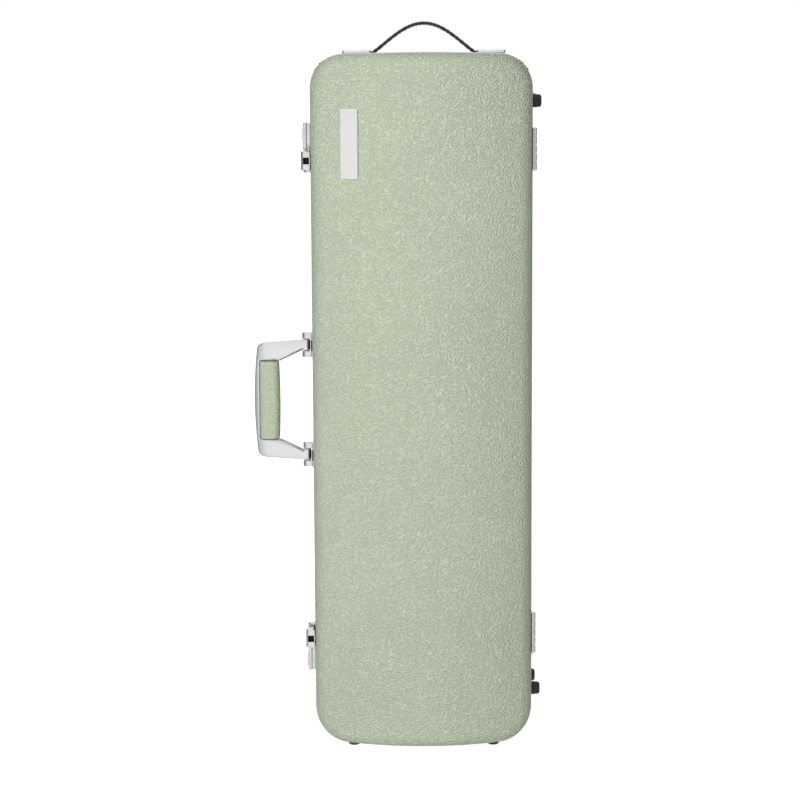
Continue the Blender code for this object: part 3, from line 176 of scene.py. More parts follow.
def light_studio():
    for box in SOFT_BOXES:
        soft_box(*box)
    world = bpy.data.worlds.new("white_studio")
    bpy.context.scene.world = world
    world.use_nodes = True
    seen = add_node(world, "ShaderNodeLightPath")
    way = add_node(world, "ShaderNodeTexCoord").outputs["Generated"]
    parts = add_node(world, "ShaderNodeSeparateXYZ", {"Vector": way}).outputs
    falloff = side_falloff(world, parts["X"])
    clear = maths(world, "MAXIMUM", seen.outputs["Is Glossy Ray"], seen.outputs["Is Transmission Ray"])
    level = remap(world, clear, (0.0, 1.0), (GLOW, SHOWN_WHITE))
    unclear = maths(world, "SUBTRACT", 1.0, clear)
    flag = maths(world, "MAXIMUM", dark_flag(world, parts["X"], parts["Y"]), unclear)
    glow = maths(world, "MULTIPLY", maths(world, "MULTIPLY", level, falloff), flag)
    shown = maths(world, "MAXIMUM", glow, seen.outputs["Is Camera Ray"])
    background = world.node_tree.nodes["Background"]
    background.inputs["Color"].default_value = (1.0, 1.0, 1.0, 1.0)
    world.node_tree.links.new(shown, background.inputs["Strength"])


FLOOR_HALF = 60.0
FLOOR_OWN_WHITE = 0.93
FLOOR_SHADED = 0.25
FLOOR_ALBEDO = 0.7


def lay_floor():
    """A floor that shows white to the camera and keeps a faint part of the case's shadow."""
    shape = bmesh.new()
    bmesh.ops.create_grid(shape, x_segments=1, y_segments=1, size=FLOOR_HALF)
    mesh = bpy.data.meshes.new("studio_floor")
    shape.to_mesh(mesh)
    shape.free()
    white = bpy.data.materials.new("studio_white")
    white.use_nodes = True
    tree = white.node_tree
    tree.nodes.remove(tree.nodes["Principled BSDF"])
    seen = add_node(white, "ShaderNodeLightPath")
    shaded = add_node(white, "ShaderNodeBsdfDiffuse", {"Color": (FLOOR_SHADED,) * 3 + (1.0,)})
    spot = add_node(white, "ShaderNodeNewGeometry").outputs["Position"]
    way = vector_maths(white, "NORMALIZE", vector_maths(white, "SUBTRACT", spot, CASE))
    parts = add_node(white, "ShaderNodeSeparateXYZ", {0: way}).outputs
    falloff = side_falloff(white, parts["X"])
    mirrored = maths(white, "MULTIPLY", falloff, dark_flag(white, parts["X"], parts["Y"]))
    mirrored = maths(white, "MULTIPLY", mirrored, SHOWN_WHITE)
    level = maths(white, "MAXIMUM", mirrored, seen.outputs["Is Camera Ray"])
    strength = maths(white, "MULTIPLY", level, FLOOR_OWN_WHITE)
    own = add_node(white, "ShaderNodeEmission", {"Strength": strength})
    to_camera = add_node(white, "ShaderNodeAddShader", {0: shaded.outputs[0], 1: own.outputs[0]})
    plain = add_node(white, "ShaderNodeBsdfDiffuse", {"Color": (FLOOR_ALBEDO,) * 3 + (1.0,)})
    shown = maths(white, "MAXIMUM", seen.outputs["Is Camera Ray"], seen.outputs["Is Glossy Ray"])
    mixed = add_node(white, "ShaderNodeMixShader", {0: shown, 1: plain.outputs[0], 2: to_camera.outputs[0]})
    tree.links.new(mixed.outputs[0], tree.nodes["Material Output"].inputs["Surface"])
    mesh.materials.append(white)
    floor = bpy.data.objects.new("studio_floor", mesh)
    bpy.context.scene.collection.objects.link(floor)
    floor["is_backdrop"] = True


light_studio()
lay_floor()


# How finishes are made: a Principled shader whose colour, roughness and bump come from procedural patterns.
# Patterns lie on object coordinates, in metres, so that each has the real grain size.
NOISE_MIDDLE = (0.3, 0.7)
CLOUD_SCALE = 9.0
CLOUD_REACH = 0.10
GRAIN_TILT = math.radians(20)
GRAIN_STRETCH = 2.1
GRAIN_DETAIL = 0.6
GRAIN_SPAN = (0.25, 0.75)
GRAIN_DULL = 0.08
DRIFT_SHARE = 0.20
MARKS_SCALE = 60.0
SCRATCH_SCALE = 900.0
SCRATCH_SHARE = 0.4
MARKS_SPAN = (0.4, 1.0)
MARKS_TONE = 0.035
SCRATCH_BUMP = 0.05
METAL_DEPTH = 0.0001
BRUSH_STRETCH = (5200.0, 5200.0, 38.0)
BRUSH_TONE = 0.06
BRUSH_BUMP = 0.10
PLAIN_TONE = 0.08
PLAIN_BUMP = 0.4
SLOW_SCALE = 25.0
PLUSH_ROUGHNESS = 0.92
PLUSH_SHEEN = 0.55
PLUSH_SHEEN_ROUGHNESS = 0.45
PLUSH_DRIFT_SCALE = 34.0
PLUSH_DRIFT = 0.010
PLUSH_STROKE_SCALE = 26.0
PLUSH_STROKE_SHARE = 1.1
PLUSH_SPAN = (0.65, 1.45)
PLUSH_TONE = 0.30
PLUSH_BUMP = 0.7
PLUSH_DEPTH = 0.0007
CLOTH_ROUGHNESS = 0.85
CLOTH_SHEEN = 0.25
SLUB_SCALE = 160.0
SLUB_SHARE = 0.5
WEAVE_TONE = 0.16
WEAVE_BUMP = 0.5
WEAVE_DEPTH = 0.0003


def principled(name, colour, roughness, metallic=0.0):
    made = bpy.data.materials.new(name)
    made.use_nodes = True
    shader = made.node_tree.nodes["Principled BSDF"]
    shader.inputs["Base Color"].default_value = (*colour, 1.0)
    shader.inputs["Roughness"].default_value = roughness
    shader.inputs["Metallic"].default_value = metallic
    return made


def to_shader(finish, socket, name):
    tree = finish.node_tree
    tree.links.new(socket, tree.nodes["Principled BSDF"].inputs[name])


def put_bump(finish, height, strength, distance):
    bump = add_node(finish, "ShaderNodeBump", {"Height": height, "Strength": strength, "Distance": distance})
    to_shader(finish, bump.outputs["Normal"], "Normal")


def noise(finish, place, scale, detail, output="Fac"):
    inputs = {"Vector": place, "Scale": scale, "Detail": detail}
    return add_node(finish, "ShaderNodeTexNoise", inputs).outputs[output]


def dulled(finish, value, span, smooth_end, dull_end):
    """The roughness, from one end to the other as a value runs over its span."""
    to_shader(finish, remap(finish, value, span, (smooth_end, dull_end)), "Roughness")


def toned(finish, colour, value, spread):
    """The base colour, lighter and darker by a spread as a value runs from 0 to 1."""
    shade = remap(finish, value, (0.0, 1.0), (1 - spread, 1 + spread))
    to_shader(finish, vector_maths(finish, "SCALE", colour, shade), "Base Color")


def here(finish):
    return add_node(finish, "ShaderNodeTexCoord").outputs["Object"]


def wandering(finish, scale, reach):
    """Object coordinates that drift from side to side, so a pattern on them is stretched and turned."""
    place = here(finish)
    drift = noise(finish, place, scale, 1.0, "Color")
    centred = vector_maths(finish, "SUBTRACT", drift, (0.5, 0.5, 0.5))
    return place, vector_maths(finish, "ADD", place, vector_maths(finish, "SCALE", centred, reach))


def pebbled_leather(name, colour, pebble, roughness, contrast, depth):
    """Leather grain: soft uneven ripples, a little longer across than along, over slow changes of tone. The
    colour is lighter on the ripples' tops and darker in the creases between them, which is painted shade.
    """
    made = principled(name, colour, roughness)
    place, bent = wandering(made, DRIFT_SHARE / pebble, pebble)
    turn = {"Vector": bent, "Angle": GRAIN_TILT}
    tilted = add_node(made, "ShaderNodeVectorRotate", turn, rotation_type="Y_AXIS").outputs[0]
    grain = vector_maths(made, "MULTIPLY", tilted, (1 / GRAIN_STRETCH, 1.0, 1.0))
    ripple = noise(made, grain, 1 / pebble, GRAIN_DETAIL)
    rounded_top = remap(made, ripple, GRAIN_SPAN, (0.0, 1.0), smooth=True)
    slow = remap(made, noise(made, place, CLOUD_SCALE, 4.0), NOISE_MIDDLE, (-CLOUD_REACH, CLOUD_REACH))
    # The base colour follows the grain's height, darker in the creases as painted shade, over the slow real
    # changes of tone.
    toned(made, colour, maths(made, "ADD", rounded_top, slow), contrast)
    dulled(made, rounded_top, (0.0, 1.0), roughness + GRAIN_DULL, roughness)
    put_bump(made, rounded_top, 1.0, depth)
    return made


def worn_metal(name, level, roughness, tint=(1.0, 1.0, 1.0)):
    """Metal whose sheen varies with faint marks, over a barely uneven surface."""
    colour = [level * share for share in tint]
    made = principled(name, colour, roughness, 1.0)
    place = here(made)
    broad = noise(made, place, MARKS_SCALE, 5.0)
    fine = noise(made, place, SCRATCH_SCALE, 2.0)
    marks = maths(made, "MULTIPLY_ADD", fine, SCRATCH_SHARE, broad)
    dulled(made, marks, MARKS_SPAN, roughness - 0.05, roughness + 0.08)
    toned(made, colour, broad, MARKS_TONE)
    put_bump(made, fine, SCRATCH_BUMP, METAL_DEPTH)
    return made


def brushed_metal(name, level, roughness):
    """Metal brushed along its length: fine lines in the bump, the colour and the roughness."""
    colour = (level, level, level * 1.01)
    made = principled(name, colour, roughness, 1.0)
    lines = noise(made, vector_maths(made, "MULTIPLY", here(made), BRUSH_STRETCH), 1.0, 3.0)
    toned(made, colour, lines, BRUSH_TONE)
    dulled(made, lines, NOISE_MIDDLE, roughness - 0.06, roughness + 0.08)
    put_bump(made, lines, BRUSH_BUMP, METAL_DEPTH)
    return made


def grained(name, colour, roughness, grain, depth, spread=PLAIN_TONE):
    """Rubber, plastic or fine leather: an even fine grain over slow changes of tone."""
    made = principled(name, colour, roughness)
    place = here(made)
    cells = add_node(made, "ShaderNodeTexVoronoi", {"Vector": place, "Scale": 1 / grain}).outputs["Distance"]
    slow = noise(made, place, SLOW_SCALE, 3.0)
    toned(made, colour, slow, spread)
    dulled(made, slow, NOISE_MIDDLE, roughness - 0.05, roughness + 0.06)
    put_bump(made, cells, PLAIN_BUMP, depth)
    return made


def plush_cloth(name, colour, pile):
    """Short-piled plush: tufts that lie one way and another, with a soft sheen on their tips."""
    made = principled(name, colour, PLUSH_ROUGHNESS)
    shader = made.node_tree.nodes["Principled BSDF"]
    shader.inputs["Sheen Weight"].default_value = PLUSH_SHEEN
    shader.inputs["Sheen Roughness"].default_value = PLUSH_SHEEN_ROUGHNESS
    place, bent = wandering(made, PLUSH_DRIFT_SCALE, PLUSH_DRIFT)
    stroked = noise(made, bent, PLUSH_STROKE_SCALE, 3.0)
    tufts = noise(made, place, 1 / pile, 4.0)
    mixed = maths(made, "MULTIPLY_ADD", stroked, PLUSH_STROKE_SHARE, tufts)
    toned(made, colour, remap(made, mixed, PLUSH_SPAN, (0.0, 1.0)), PLUSH_TONE)
    put_bump(made, mixed, PLUSH_BUMP, PLUSH_DEPTH)
    return made


def woven_cloth(name, colour, pitch):
    """A fine woven lining: warp and weft pass over and under each other."""
    made = principled(name, colour, CLOTH_ROUGHNESS)
    shader = made.node_tree.nodes["Principled BSDF"]
    shader.inputs["Sheen Weight"].default_value = CLOTH_SHEEN
    scaled = vector_maths(made, "SCALE", here(made), math.pi / pitch)
    axes = add_node(made, "ShaderNodeSeparateXYZ", {"Vector": scaled}).outputs
    warp = maths(made, "ABSOLUTE", maths(made, "SINE", maths(made, "ADD", axes["X"], axes["Y"])))
    weft = maths(made, "ABSOLUTE", maths(made, "SINE", axes["Z"]))
    weave = maths(made, "ABSOLUTE", maths(made, "SUBTRACT", warp, weft))
    thread = maths(made, "MULTIPLY_ADD", noise(made, here(made), SLUB_SCALE, 3.0), SLUB_SHARE, weave)
    toned(made, colour, thread, WEAVE_TONE)
    put_bump(made, thread, WEAVE_BUMP, WEAVE_DEPTH)
    return made


SAGE = (0.530, 0.592, 0.453)
GRIP_SAGE = (0.490, 0.556, 0.410)
THREAD_SAGE = (0.50, 0.56, 0.42)
RUBBER_BLACK = (0.022, 0.021, 0.022)
STRAP_BLACK = (0.020, 0.017, 0.019)
THREAD_BLACK = (0.055, 0.052, 0.055)
PLASTIC_BLACK = (0.030, 0.030, 0.032)
PLUSH_GREY = (0.135, 0.145, 0.145)
LINING_GREY = (0.165, 0.175, 0.175)
BINDING_GREY = (0.060, 0.064, 0.066)

sage_leatherette = pebbled_leather(
    "sage_leatherette", SAGE, pebble=0.0013, roughness=0.46, contrast=0.14, depth=0.0010
)
sage_grip = pebbled_leather(
    "sage_grip_leather", GRIP_SAGE, pebble=0.0014, roughness=0.48, contrast=0.09, depth=0.0007
)
cast_alloy = worn_metal("satin_cast_alloy", level=0.70, roughness=0.32)
bright_steel = worn_metal("plated_steel_finish", level=0.74, roughness=0.20, tint=(1.0, 1.0, 1.01))
# A near-black alloy for faces deep inside the latches: painted shade.
shadowed_alloy = worn_metal("shadowed_alloy", level=0.05, roughness=0.55)
plate_alloy = brushed_metal("brushed_plate", level=1.0, roughness=0.34)
black_rubber = grained("black_rubber_finish", RUBBER_BLACK, roughness=0.55, grain=0.0009, depth=0.0002)
strap_leather = grained(
    "black_strap_leather", STRAP_BLACK, roughness=0.42, grain=0.0013, depth=0.0004, spread=0.15
)
dark_thread = grained("dark_waxed_thread", THREAD_BLACK, roughness=0.6, grain=0.0005, depth=0.0002)
sage_thread = grained("sage_waxed_thread", THREAD_SAGE, roughness=0.6, grain=0.0005, depth=0.0002)
dark_plastic = grained("dark_moulded_plastic", PLASTIC_BLACK, roughness=0.45, grain=0.0007, depth=0.0001)
grey_plush = plush_cloth("grey_plush", PLUSH_GREY, pile=0.0011)
grey_lining = woven_cloth("grey_woven_lining", LINING_GREY, pitch=0.0010)
dark_binding = woven_cloth("dark_binding_cloth", BINDING_GREY, pitch=0.0008)


# How pieces are drawn: closed bmesh shapes in metres from the case's middle, with rounded arrises.
SHARP = math.radians(38)
SAME_PLACE = 1e-6
NEAR_PLACE = 1e-5
FACING_SHARE = 0.9
THREAD_FLATNESS_SHARE = 0.7
ROUND_STEPS = 40
SMALL_ROUND_STEPS = 24
SCREW_PROFILE_SHARES = (
    (0.0, -0.3),
    (0.95, -0.3),
    (1.0, 0.08),
    (0.88, 0.27),
    (0.55, 0.40),
    (0.0, 0.45),
)
SCREW_SLOT_SHARE = 0.6
SCREW_SLOT_WIDTH_SHARE = 0.12
SCREW_FLOOR_SHARES = (0.12, 0.13, 0.14)


def spans(node):
    """A CAD node's reach along each axis, from the case's middle."""
    low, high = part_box(node)
    return tuple(zip(low - CASE, high - CASE))


def about(middle, half):
    return (middle - half, middle + half)


def arc(centre, radius, start, end, steps):
    """Places on an arc round a centre, from a start angle to an end angle."""
    angles = [start + (end - start) * step / steps for step in range(steps + 1)]
    return [(centre[0] + radius * math.cos(a), centre[1] + radius * math.sin(a)) for a in angles]


def new_piece(name, shape, finish, body, replaced=()):
    """A bmesh drawn from the case's middle becomes a piece that rides on a body."""
    bmesh.ops.translate(shape, vec=CASE, verts=shape.verts)
    mesh = bpy.data.meshes.new(name)
    shape.to_mesh(mesh)
    shape.free()
    mesh.materials.append(finish)
    mesh.shade_smooth()
    mesh.set_sharp_from_angle(angle=SHARP)
    piece = bpy.data.objects.new(name, mesh)
    bpy.context.scene.collection.objects.link(piece)
    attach(piece, body)
    if replaced:
        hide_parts(*replaced)
    return piece


def round_edges(shape, edges, width, segments):
    bmesh.ops.bevel(
        shape, geom=edges, offset=width, segments=segments, profile=0.5, affect="EDGES", material=-1
    )


def sharp_edges(shape):
    return [e for e in shape.edges if len(e.link_faces) == 2 and e.calc_face_angle() > SHARP]


def rounded(shape, width, segments=3):
    round_edges(shape, sharp_edges(shape), width, segments)
    return shape


def block(x_span, y_span, z_span):
    shape = bmesh.new()
    bmesh.ops.create_cube(shape, size=1)
    spans_given = (x_span, y_span, z_span)
    bmesh.ops.scale(shape, vec=[abs(high - low) for low, high in spans_given], verts=shape.verts)
    bmesh.ops.translate(shape, vec=[(high + low) / 2 for low, high in spans_given], verts=shape.verts)
    return shape


def plated(x_span, y_span, z_span, axis, corner, rounding):
    """A plate whose four corners are round seen along an axis, with small rounded arrises."""
    shape = block(x_span, y_span, z_span)
    through = [e for e in shape.edges if e.verts[0].co[axis] != e.verts[1].co[axis]]
    round_edges(shape, through, corner, 6)
    return rounded(shape, rounding)


def skinned(rings, closed=False):
    """A skin over rings of places, each joined to the next. Its ends are capped, or joined if closed."""
    shape = bmesh.new()
    made = [[shape.verts.new(place) for place in ring] for ring in rings]
    for near, far in zip(made, made[1:] + made[:1] if closed else made[1:]):
        for k in range(len(near)):
            after = (k + 1) % len(near)
            shape.faces.new((near[k], near[after], far[after], far[k]))
    if not closed:
        shape.faces.new(made[0])
        shape.faces.new(made[-1])
    bmesh.ops.recalc_face_normals(shape, faces=shape.faces)
    return shape


def prism(outline, axis, span):
    """An outline in the other two axes, drawn along an axis over a span."""
    rings = []
    for along in span:
        ring = [list(place) for place in outline]
        for place in ring:
            place.insert(axis, along)
        rings.append(ring)
    return skinned(rings)


def turned(profile, centre, axis, steps=ROUND_STEPS):
    """A closed turned shape. The profile is (radius, place along the axis), from end to end."""
    first, second = (k for k in range(3) if k != axis)
    shape = bmesh.new()
    rings = []
    for radius, along in profile:
        ring = []
        for k in range(steps if radius else 1):
            angle = 2 * math.pi * k / steps
            spot = Vector(centre)
            spot[first] += radius * math.cos(angle)
            spot[second] += radius * math.sin(angle)
            spot[axis] += along
            ring.append(shape.verts.new(spot))
        rings.append(ring)
    for near, far in zip(rings, rings[1:]):
        for k in range(steps):
            around = (k, (k + 1) % steps)
            corners = [near[j % len(near)] for j in around] + [far[j % len(far)] for j in reversed(around)]
            shape.faces.new(list(dict.fromkeys(corners)))
    bmesh.ops.recalc_face_normals(shape, faces=shape.faces)
    return shape


def together(first, *others):
    """Shapes as one."""
    for other in others:
        passing = bpy.data.meshes.new("passing")
        other.to_mesh(passing)
        other.free()
        first.from_mesh(passing)
        bpy.data.meshes.remove(passing)
    return first


def passing_object(shape):
    """A shape as an object, for as long as a modifier needs it."""
    mesh = bpy.data.meshes.new("passing")
    shape.to_mesh(mesh)
    shape.free()
    passing = bpy.data.objects.new("passing", mesh)
    bpy.context.scene.collection.objects.link(passing)
    return passing


def after_modifiers(*objects):
    """The first object's shape with its modifiers. All the objects are removed."""
    result = bmesh.new()
    result.from_object(objects[0], bpy.context.evaluated_depsgraph_get())
    for passing in objects:
        mesh = passing.data
        bpy.data.objects.remove(passing)
        bpy.data.meshes.remove(mesh)
    return result


def carved(shape, *tools, operation="DIFFERENCE"):
    """Cuts closed shapes out of another, one after another, or adds them to it."""
    made = [passing_object(source) for source in (shape, *tools)]
    for tool in made[1:]:
        step = made[0].modifiers.new("step", "BOOLEAN")
        step.object = tool
        step.operation = operation
        step.solver = "EXACT"
    return after_modifiers(*made)


def screw(centre, axis, facing, radius):
    """A low domed screw head with a cross recess, on a face that looks along the axis."""
    profile = [(share * radius, facing * rise * radius) for share, rise in SCREW_PROFILE_SHARES]
    slots = []
    for long_axis in range(3):
        if long_axis == axis:
            continue
        reach = [SCREW_SLOT_WIDTH_SHARE * radius] * 3
        reach[long_axis] = SCREW_SLOT_SHARE * radius
        cross = [about(centre[k], reach[k]) for k in range(3)]
        floor = SCREW_FLOOR_SHARES[long_axis] * radius
        cross[axis] = sorted((centre[axis] + facing * floor, centre[axis] + facing * radius))
        slots.append(block(*cross))
    return carved(turned(profile, centre, axis, SMALL_ROUND_STEPS), *slots)


def screws(centres, axis, facing, radius):
    return together(*[screw(centre, axis, facing, radius) for centre in centres])


def stitches(spots, length, thickness):
    """Thread stitches. Each spot is a place, the way the seam runs and the way the face looks."""
    shape = bmesh.new()
    size = Matrix.Diagonal((length / 2, thickness, thickness * THREAD_FLATNESS_SHARE, 1.0))
    for place, way, out in spots:
        turn = Matrix((way, out.cross(way), out)).transposed().to_4x4()
        spot = Matrix.Translation(place) @ turn @ size
        bmesh.ops.create_uvsphere(shape, u_segments=8, v_segments=6, radius=1.0, matrix=spot)
    return shape


def soft_rod(radius, low, high, soft):
    """The profile of a rod with softened ends."""
    near = [(0.0, low), (radius - soft, low), (radius, low + soft)]
    return near + [(radius, high - soft), (radius - soft, high), (0.0, high)]


def plain_rod(radius, low, high):
    """The profile of a rod with square ends."""
    return [(0.0, low), (radius, low), (radius, high), (0.0, high)]


def upright_pin(node):
    """A round pin along z with soft ends, in a CAD pin's place."""
    reach = spans(node)
    centre = [sum(span) / 2 for span in reach]
    half = (reach[2][1] - reach[2][0]) / 2
    radius = (reach[0][1] - reach[0][0]) / 2
    return turned(soft_rod(radius, -half, half, radius / 3), centre, 2, SMALL_ROUND_STEPS)


def case_block(proud, y_span):
    """A block with the case's round corners, as tall in y as its span."""
    half_width = shell_half_width + proud
    half_length = shell_half_length + proud
    shape = block(about(0.0, half_width), y_span, about(0.0, half_length))
    corners = [e for e in shape.edges if e.verts[0].co.y != e.verts[1].co.y]
    round_edges(shape, corners, CORNER_RADIUS + proud, CORNER_STEPS)
    return shape


def cut_strips(shape, axis, places):
    """Cuts the faces along planes square to an axis, so that they can bend between them."""
    for place in places:
        on_plane, along = Vector(), Vector()
        on_plane[axis] = place
        along[axis] = 1.0
        everything = shape.verts[:] + shape.edges[:] + shape.faces[:]
        bmesh.ops.bisect_plane(shape, geom=everything, dist=SAME_PLACE, plane_co=on_plane, plane_no=along)


def walled(shape, thickness):
    """Gives an open skin its wall, on the inside."""
    bmesh.ops.solidify(shape, geom=shape.faces[:], thickness=thickness)
    bmesh.ops.recalc_face_normals(shape, faces=shape.faces)
    return shape


# The lid and the base are moulded laminate shells, each covered with one piece of pebbled leatherette.
# The lid's face is a long round arch, the base is deeper and nearly flat, and both have soft edges.
CORNER_RADIUS = 0.038
CORNER_STEPS = 14
END_BULGE = 0.0012
ARCH_STRIPS = 46
SHELL_WALL = 0.0035
LID_CROWN = 0.052
LID_SIDE = 0.023
LID_FILLET = 0.013
BASE_BACK = 0.092
BASE_SIDE = 0.089
BASE_FILLET = 0.014
BASE_DRAFT = 0.0035
EDGE_FLAT = 0.0012
FILLET_STEPS = 10

shell_half_width = (lid_high.x - lid_low.x) / 2
shell_half_length = (lid_high.z - lid_low.z) / 2 - END_BULGE
shell_edge = CASE.y - lid_high.y


def swell_ends(shape):
    """The short ends swell a little between the corners."""
    reach = shell_half_width - CORNER_RADIUS
    start = shell_half_length - CORNER_RADIUS
    for vert in shape.verts:
        share = min(1.0, abs(vert.co.x) / reach)
        along = min(1.0, max(0.0, (abs(vert.co.z) - start) / CORNER_RADIUS))
        vert.co.z += math.copysign(END_BULGE * (1 - share**2) * along, vert.co.z)


def strips():
    return [shell_half_width * (2 * k / ARCH_STRIPS - 1) for k in range(1, ARCH_STRIPS)]


def arch(x, crown, side, inset=0.0):
    """The height at x of a round arch across the case, or of one that lies inside it."""
    sag = crown - side
    radius = (shell_half_width**2 + sag**2) / (2 * sag)
    return crown - radius + math.sqrt((radius - inset) ** 2 - x**2)


def moulded_shell(facing, crown, side, fillet, draft, inset=0.0):
    """A shell's skin, open towards the other shell. facing is -1 for the lid and 1 for the base."""
    top = crown - inset
    shape = case_block(-inset, sorted((facing * shell_edge, facing * top)))
    rim_faces = [f for f in shape.faces if f.normal.y * facing < -FACING_SHARE]
    bmesh.ops.delete(shape, geom=rim_faces, context="FACES")
    around = [e for e in shape.edges if all(abs(v.co.y - facing * top) < SAME_PLACE for v in e.verts)]
    round_edges(shape, around, fillet - inset, FILLET_STEPS)
    cut_strips(shape, 0, strips())
    cut_strips(shape, 1, [facing * (shell_edge + EDGE_FLAT)])
    fillet_start = top - fillet + inset
    draft_start = shell_edge + EDGE_FLAT
    for vert in shape.verts:
        depth = facing * vert.co.y
        x = vert.co.x
        if depth > fillet_start - SAME_PLACE:
            vert.co.y += facing * (arch(x, crown, side) - crown)
        share = min(1.0, max(0.0, (depth - draft_start) / (fillet_start - draft_start)))
        vert.co.x *= 1 - draft * share / shell_half_width
        vert.co.z *= 1 - draft * share / shell_half_length
    swell_ends(shape)
    bmesh.ops.recalc_face_normals(shape, faces=shape.faces)
    return shape


lid_skin = moulded_shell(-1, LID_CROWN, LID_SIDE, LID_FILLET, 0.0)
lid_cover = walled(lid_skin, SHELL_WALL)
new_piece("lid_cover", lid_cover, sage_leatherette, "lid", ["lid_shell"])
base_skin = moulded_shell(1, BASE_BACK, BASE_SIDE, BASE_FILLET, BASE_DRAFT)
base_cover = walled(base_skin, SHELL_WALL)
new_piece("base_cover", base_cover, sage_leatherette, "base", ["base_shell"])


# The case's edges: an alloy rim round each shell, proud of the leatherette, and a soft seal between them.
# Both rims keep small rounded arrises, so they catch a thin line of light all the way round.
RIM_ROUNDING = 0.0008
SEAL_INSET = 0.0014
SEAL_WIDTH = 0.002
SEAL_ROUNDING = 0.0005


def edge_band(proud, y_span, width, rounding):
    shape = case_block(proud, y_span)
    flat = [f for f in shape.faces if abs(f.normal.y) > FACING_SHARE]
    bmesh.ops.delete(shape, geom=flat, context="FACES")
    cut_strips(shape, 0, strips())
    swell_ends(shape)
    return rounded(walled(shape, width), rounding, 2)


for word in ("lid", "base"):
    (rim_left, rim_right), rim_rise, _ = spans(f"{word}_rim")
    rim_proud = (rim_right - rim_left) / 2 - shell_half_width
    rim = edge_band(rim_proud, rim_rise, rim_rise[1] - rim_rise[0], RIM_ROUNDING)
    new_piece(f"{word}_edge_rim", rim, cast_alloy, word, [f"{word}_rim"])
seal = edge_band(-SEAL_INSET, spans("rim_seal")[1], SEAL_WIDTH, SEAL_ROUNDING)
new_piece("edge_seal", seal, black_rubber, "base", ["rim_seal"])


# Turned rubber feet: four under the lower end and four along the hinge side.
# Each has a groove round it, a soft outer corner and a recessed screw.
FOOT_PROFILE_SHARES = (
    (0.0, 0.0),
    (0.96, 0.0),
    (1.0, 0.04),
    (1.0, 0.52),
    (0.93, 0.56),
    (0.93, 0.62),
    (0.97, 0.66),
    (0.94, 0.80),
    (0.87, 0.91),
    (0.76, 0.98),
    (0.66, 1.0),
    (0.34, 1.0),
    (0.31, 0.98),
    (0.31, 0.74),
    (0.0, 0.74),
)
FOOT_SCREW_SHARE = 0.27
FOOT_SCREW_SUNK_SHARE = 0.80


def turned_foot(node, axis, toward):
    """A foot in the CAD foot's place, whose tip looks along the axis."""
    reach = spans(node)
    centre = [sum(span) / 2 for span in reach]
    radius = (reach[1][1] - reach[1][0]) / 2
    wall, tip = reach[axis] if toward > 0 else reversed(reach[axis])
    centre[axis] = wall
    profile = [(across * radius, along * (tip - wall)) for across, along in FOOT_PROFILE_SHARES]
    new_piece(f"{node}_rubber", turned(profile, centre, axis), black_rubber, "base", [node])
    head = list(centre)
    head[axis] = wall + (tip - wall) * FOOT_SCREW_SUNK_SHARE
    return screw(head, axis, toward, FOOT_SCREW_SHARE * radius)


foot_screws = []
for row in ("front", "rear"):
    for word in ("left", "right"):
        foot_screws.append(turned_foot(f"end_foot_{row}_{word}", 2, -1))
    for word in ("lower", "upper"):
        foot_screws.append(turned_foot(f"side_foot_{row}_{word}", 0, 1))
new_piece("foot_screws", together(*foot_screws), bright_steel, "base")


# A stitched leather strap bows up from the upper end, and two plates with screws hold its flat ends.
# The end wall falls away to the back with the base's draft, so strap and plates lean with it.
STRAP_OFFSET_X = 0.003
STRAP_HALF_SPAN = 0.0585
STRAP_TUCK = 0.024
STRAP_FLAT = 0.001
STRAP_Y = 0.036
STRAP_WIDTH = 0.018
STRAP_THICKNESS = 0.0028
STRAP_RISE = 0.033
STRAP_FULLNESS = 1.15
STRAP_STEPS = 56
STRAP_CORNER = 0.0011
STRAP_PLATE_LENGTH = 0.0325
STRAP_PLATE_WIDTH = 0.025
STRAP_PLATE_ROOF = 0.0008
STITCH_GAP = 0.0042
STITCH_IN = 0.0026
STITCH_LENGTH = 0.0029
STITCH_THREAD = 0.0005
STRAP_PLATE_CORNER = 0.0024
STRAP_PLATE_ROUNDING = 0.0006
STRAP_SCREWS = (0.0075, 0.025)
STRAP_SCREW_RADIUS = 0.0026
GAP = 0.0003

draft_slope = BASE_DRAFT / (BASE_SIDE - BASE_FILLET - shell_edge - EDGE_FLAT)
strap_share = (STRAP_HALF_SPAN - STRAP_OFFSET_X) / (shell_half_width - CORNER_RADIUS)
strap_seat = shell_half_length + END_BULGE * (1 - strap_share**2)
strap_seat -= draft_slope * (STRAP_Y - shell_edge - EDGE_FLAT)


def lean(shape):
    fall = Matrix.Rotation(-math.atan(draft_slope), 3, "X")
    bmesh.ops.rotate(shape, cent=(0.0, STRAP_Y, strap_seat), matrix=fall, verts=shape.verts)
    return shape


def strap_path():
    """The strap's middle line as (x, z), with its flat ends."""
    middle = strap_seat + GAP + STRAP_THICKNESS / 2
    path = [(STRAP_OFFSET_X - STRAP_HALF_SPAN - STRAP_TUCK, middle)]
    for step in range(STRAP_STEPS + 1):
        x = STRAP_HALF_SPAN * (2 * step / STRAP_STEPS - 1)
        share = max(0.0, math.cos(math.pi / 2 * x / STRAP_HALF_SPAN))
        path.append((STRAP_OFFSET_X + x, middle + STRAP_RISE * share**STRAP_FULLNESS))
    path.append((STRAP_OFFSET_X + STRAP_HALF_SPAN + STRAP_TUCK, middle))
    return path


def band_ways(path):
    """For each point of the path, the way the band runs there."""
    ways = []
    for k in range(len(path)):
        start, end = path[max(0, k - 1)], path[min(len(path) - 1, k + 1)]
        ways.append(Vector((end[0] - start[0], 0.0, end[1] - start[1])).normalized())
    return ways


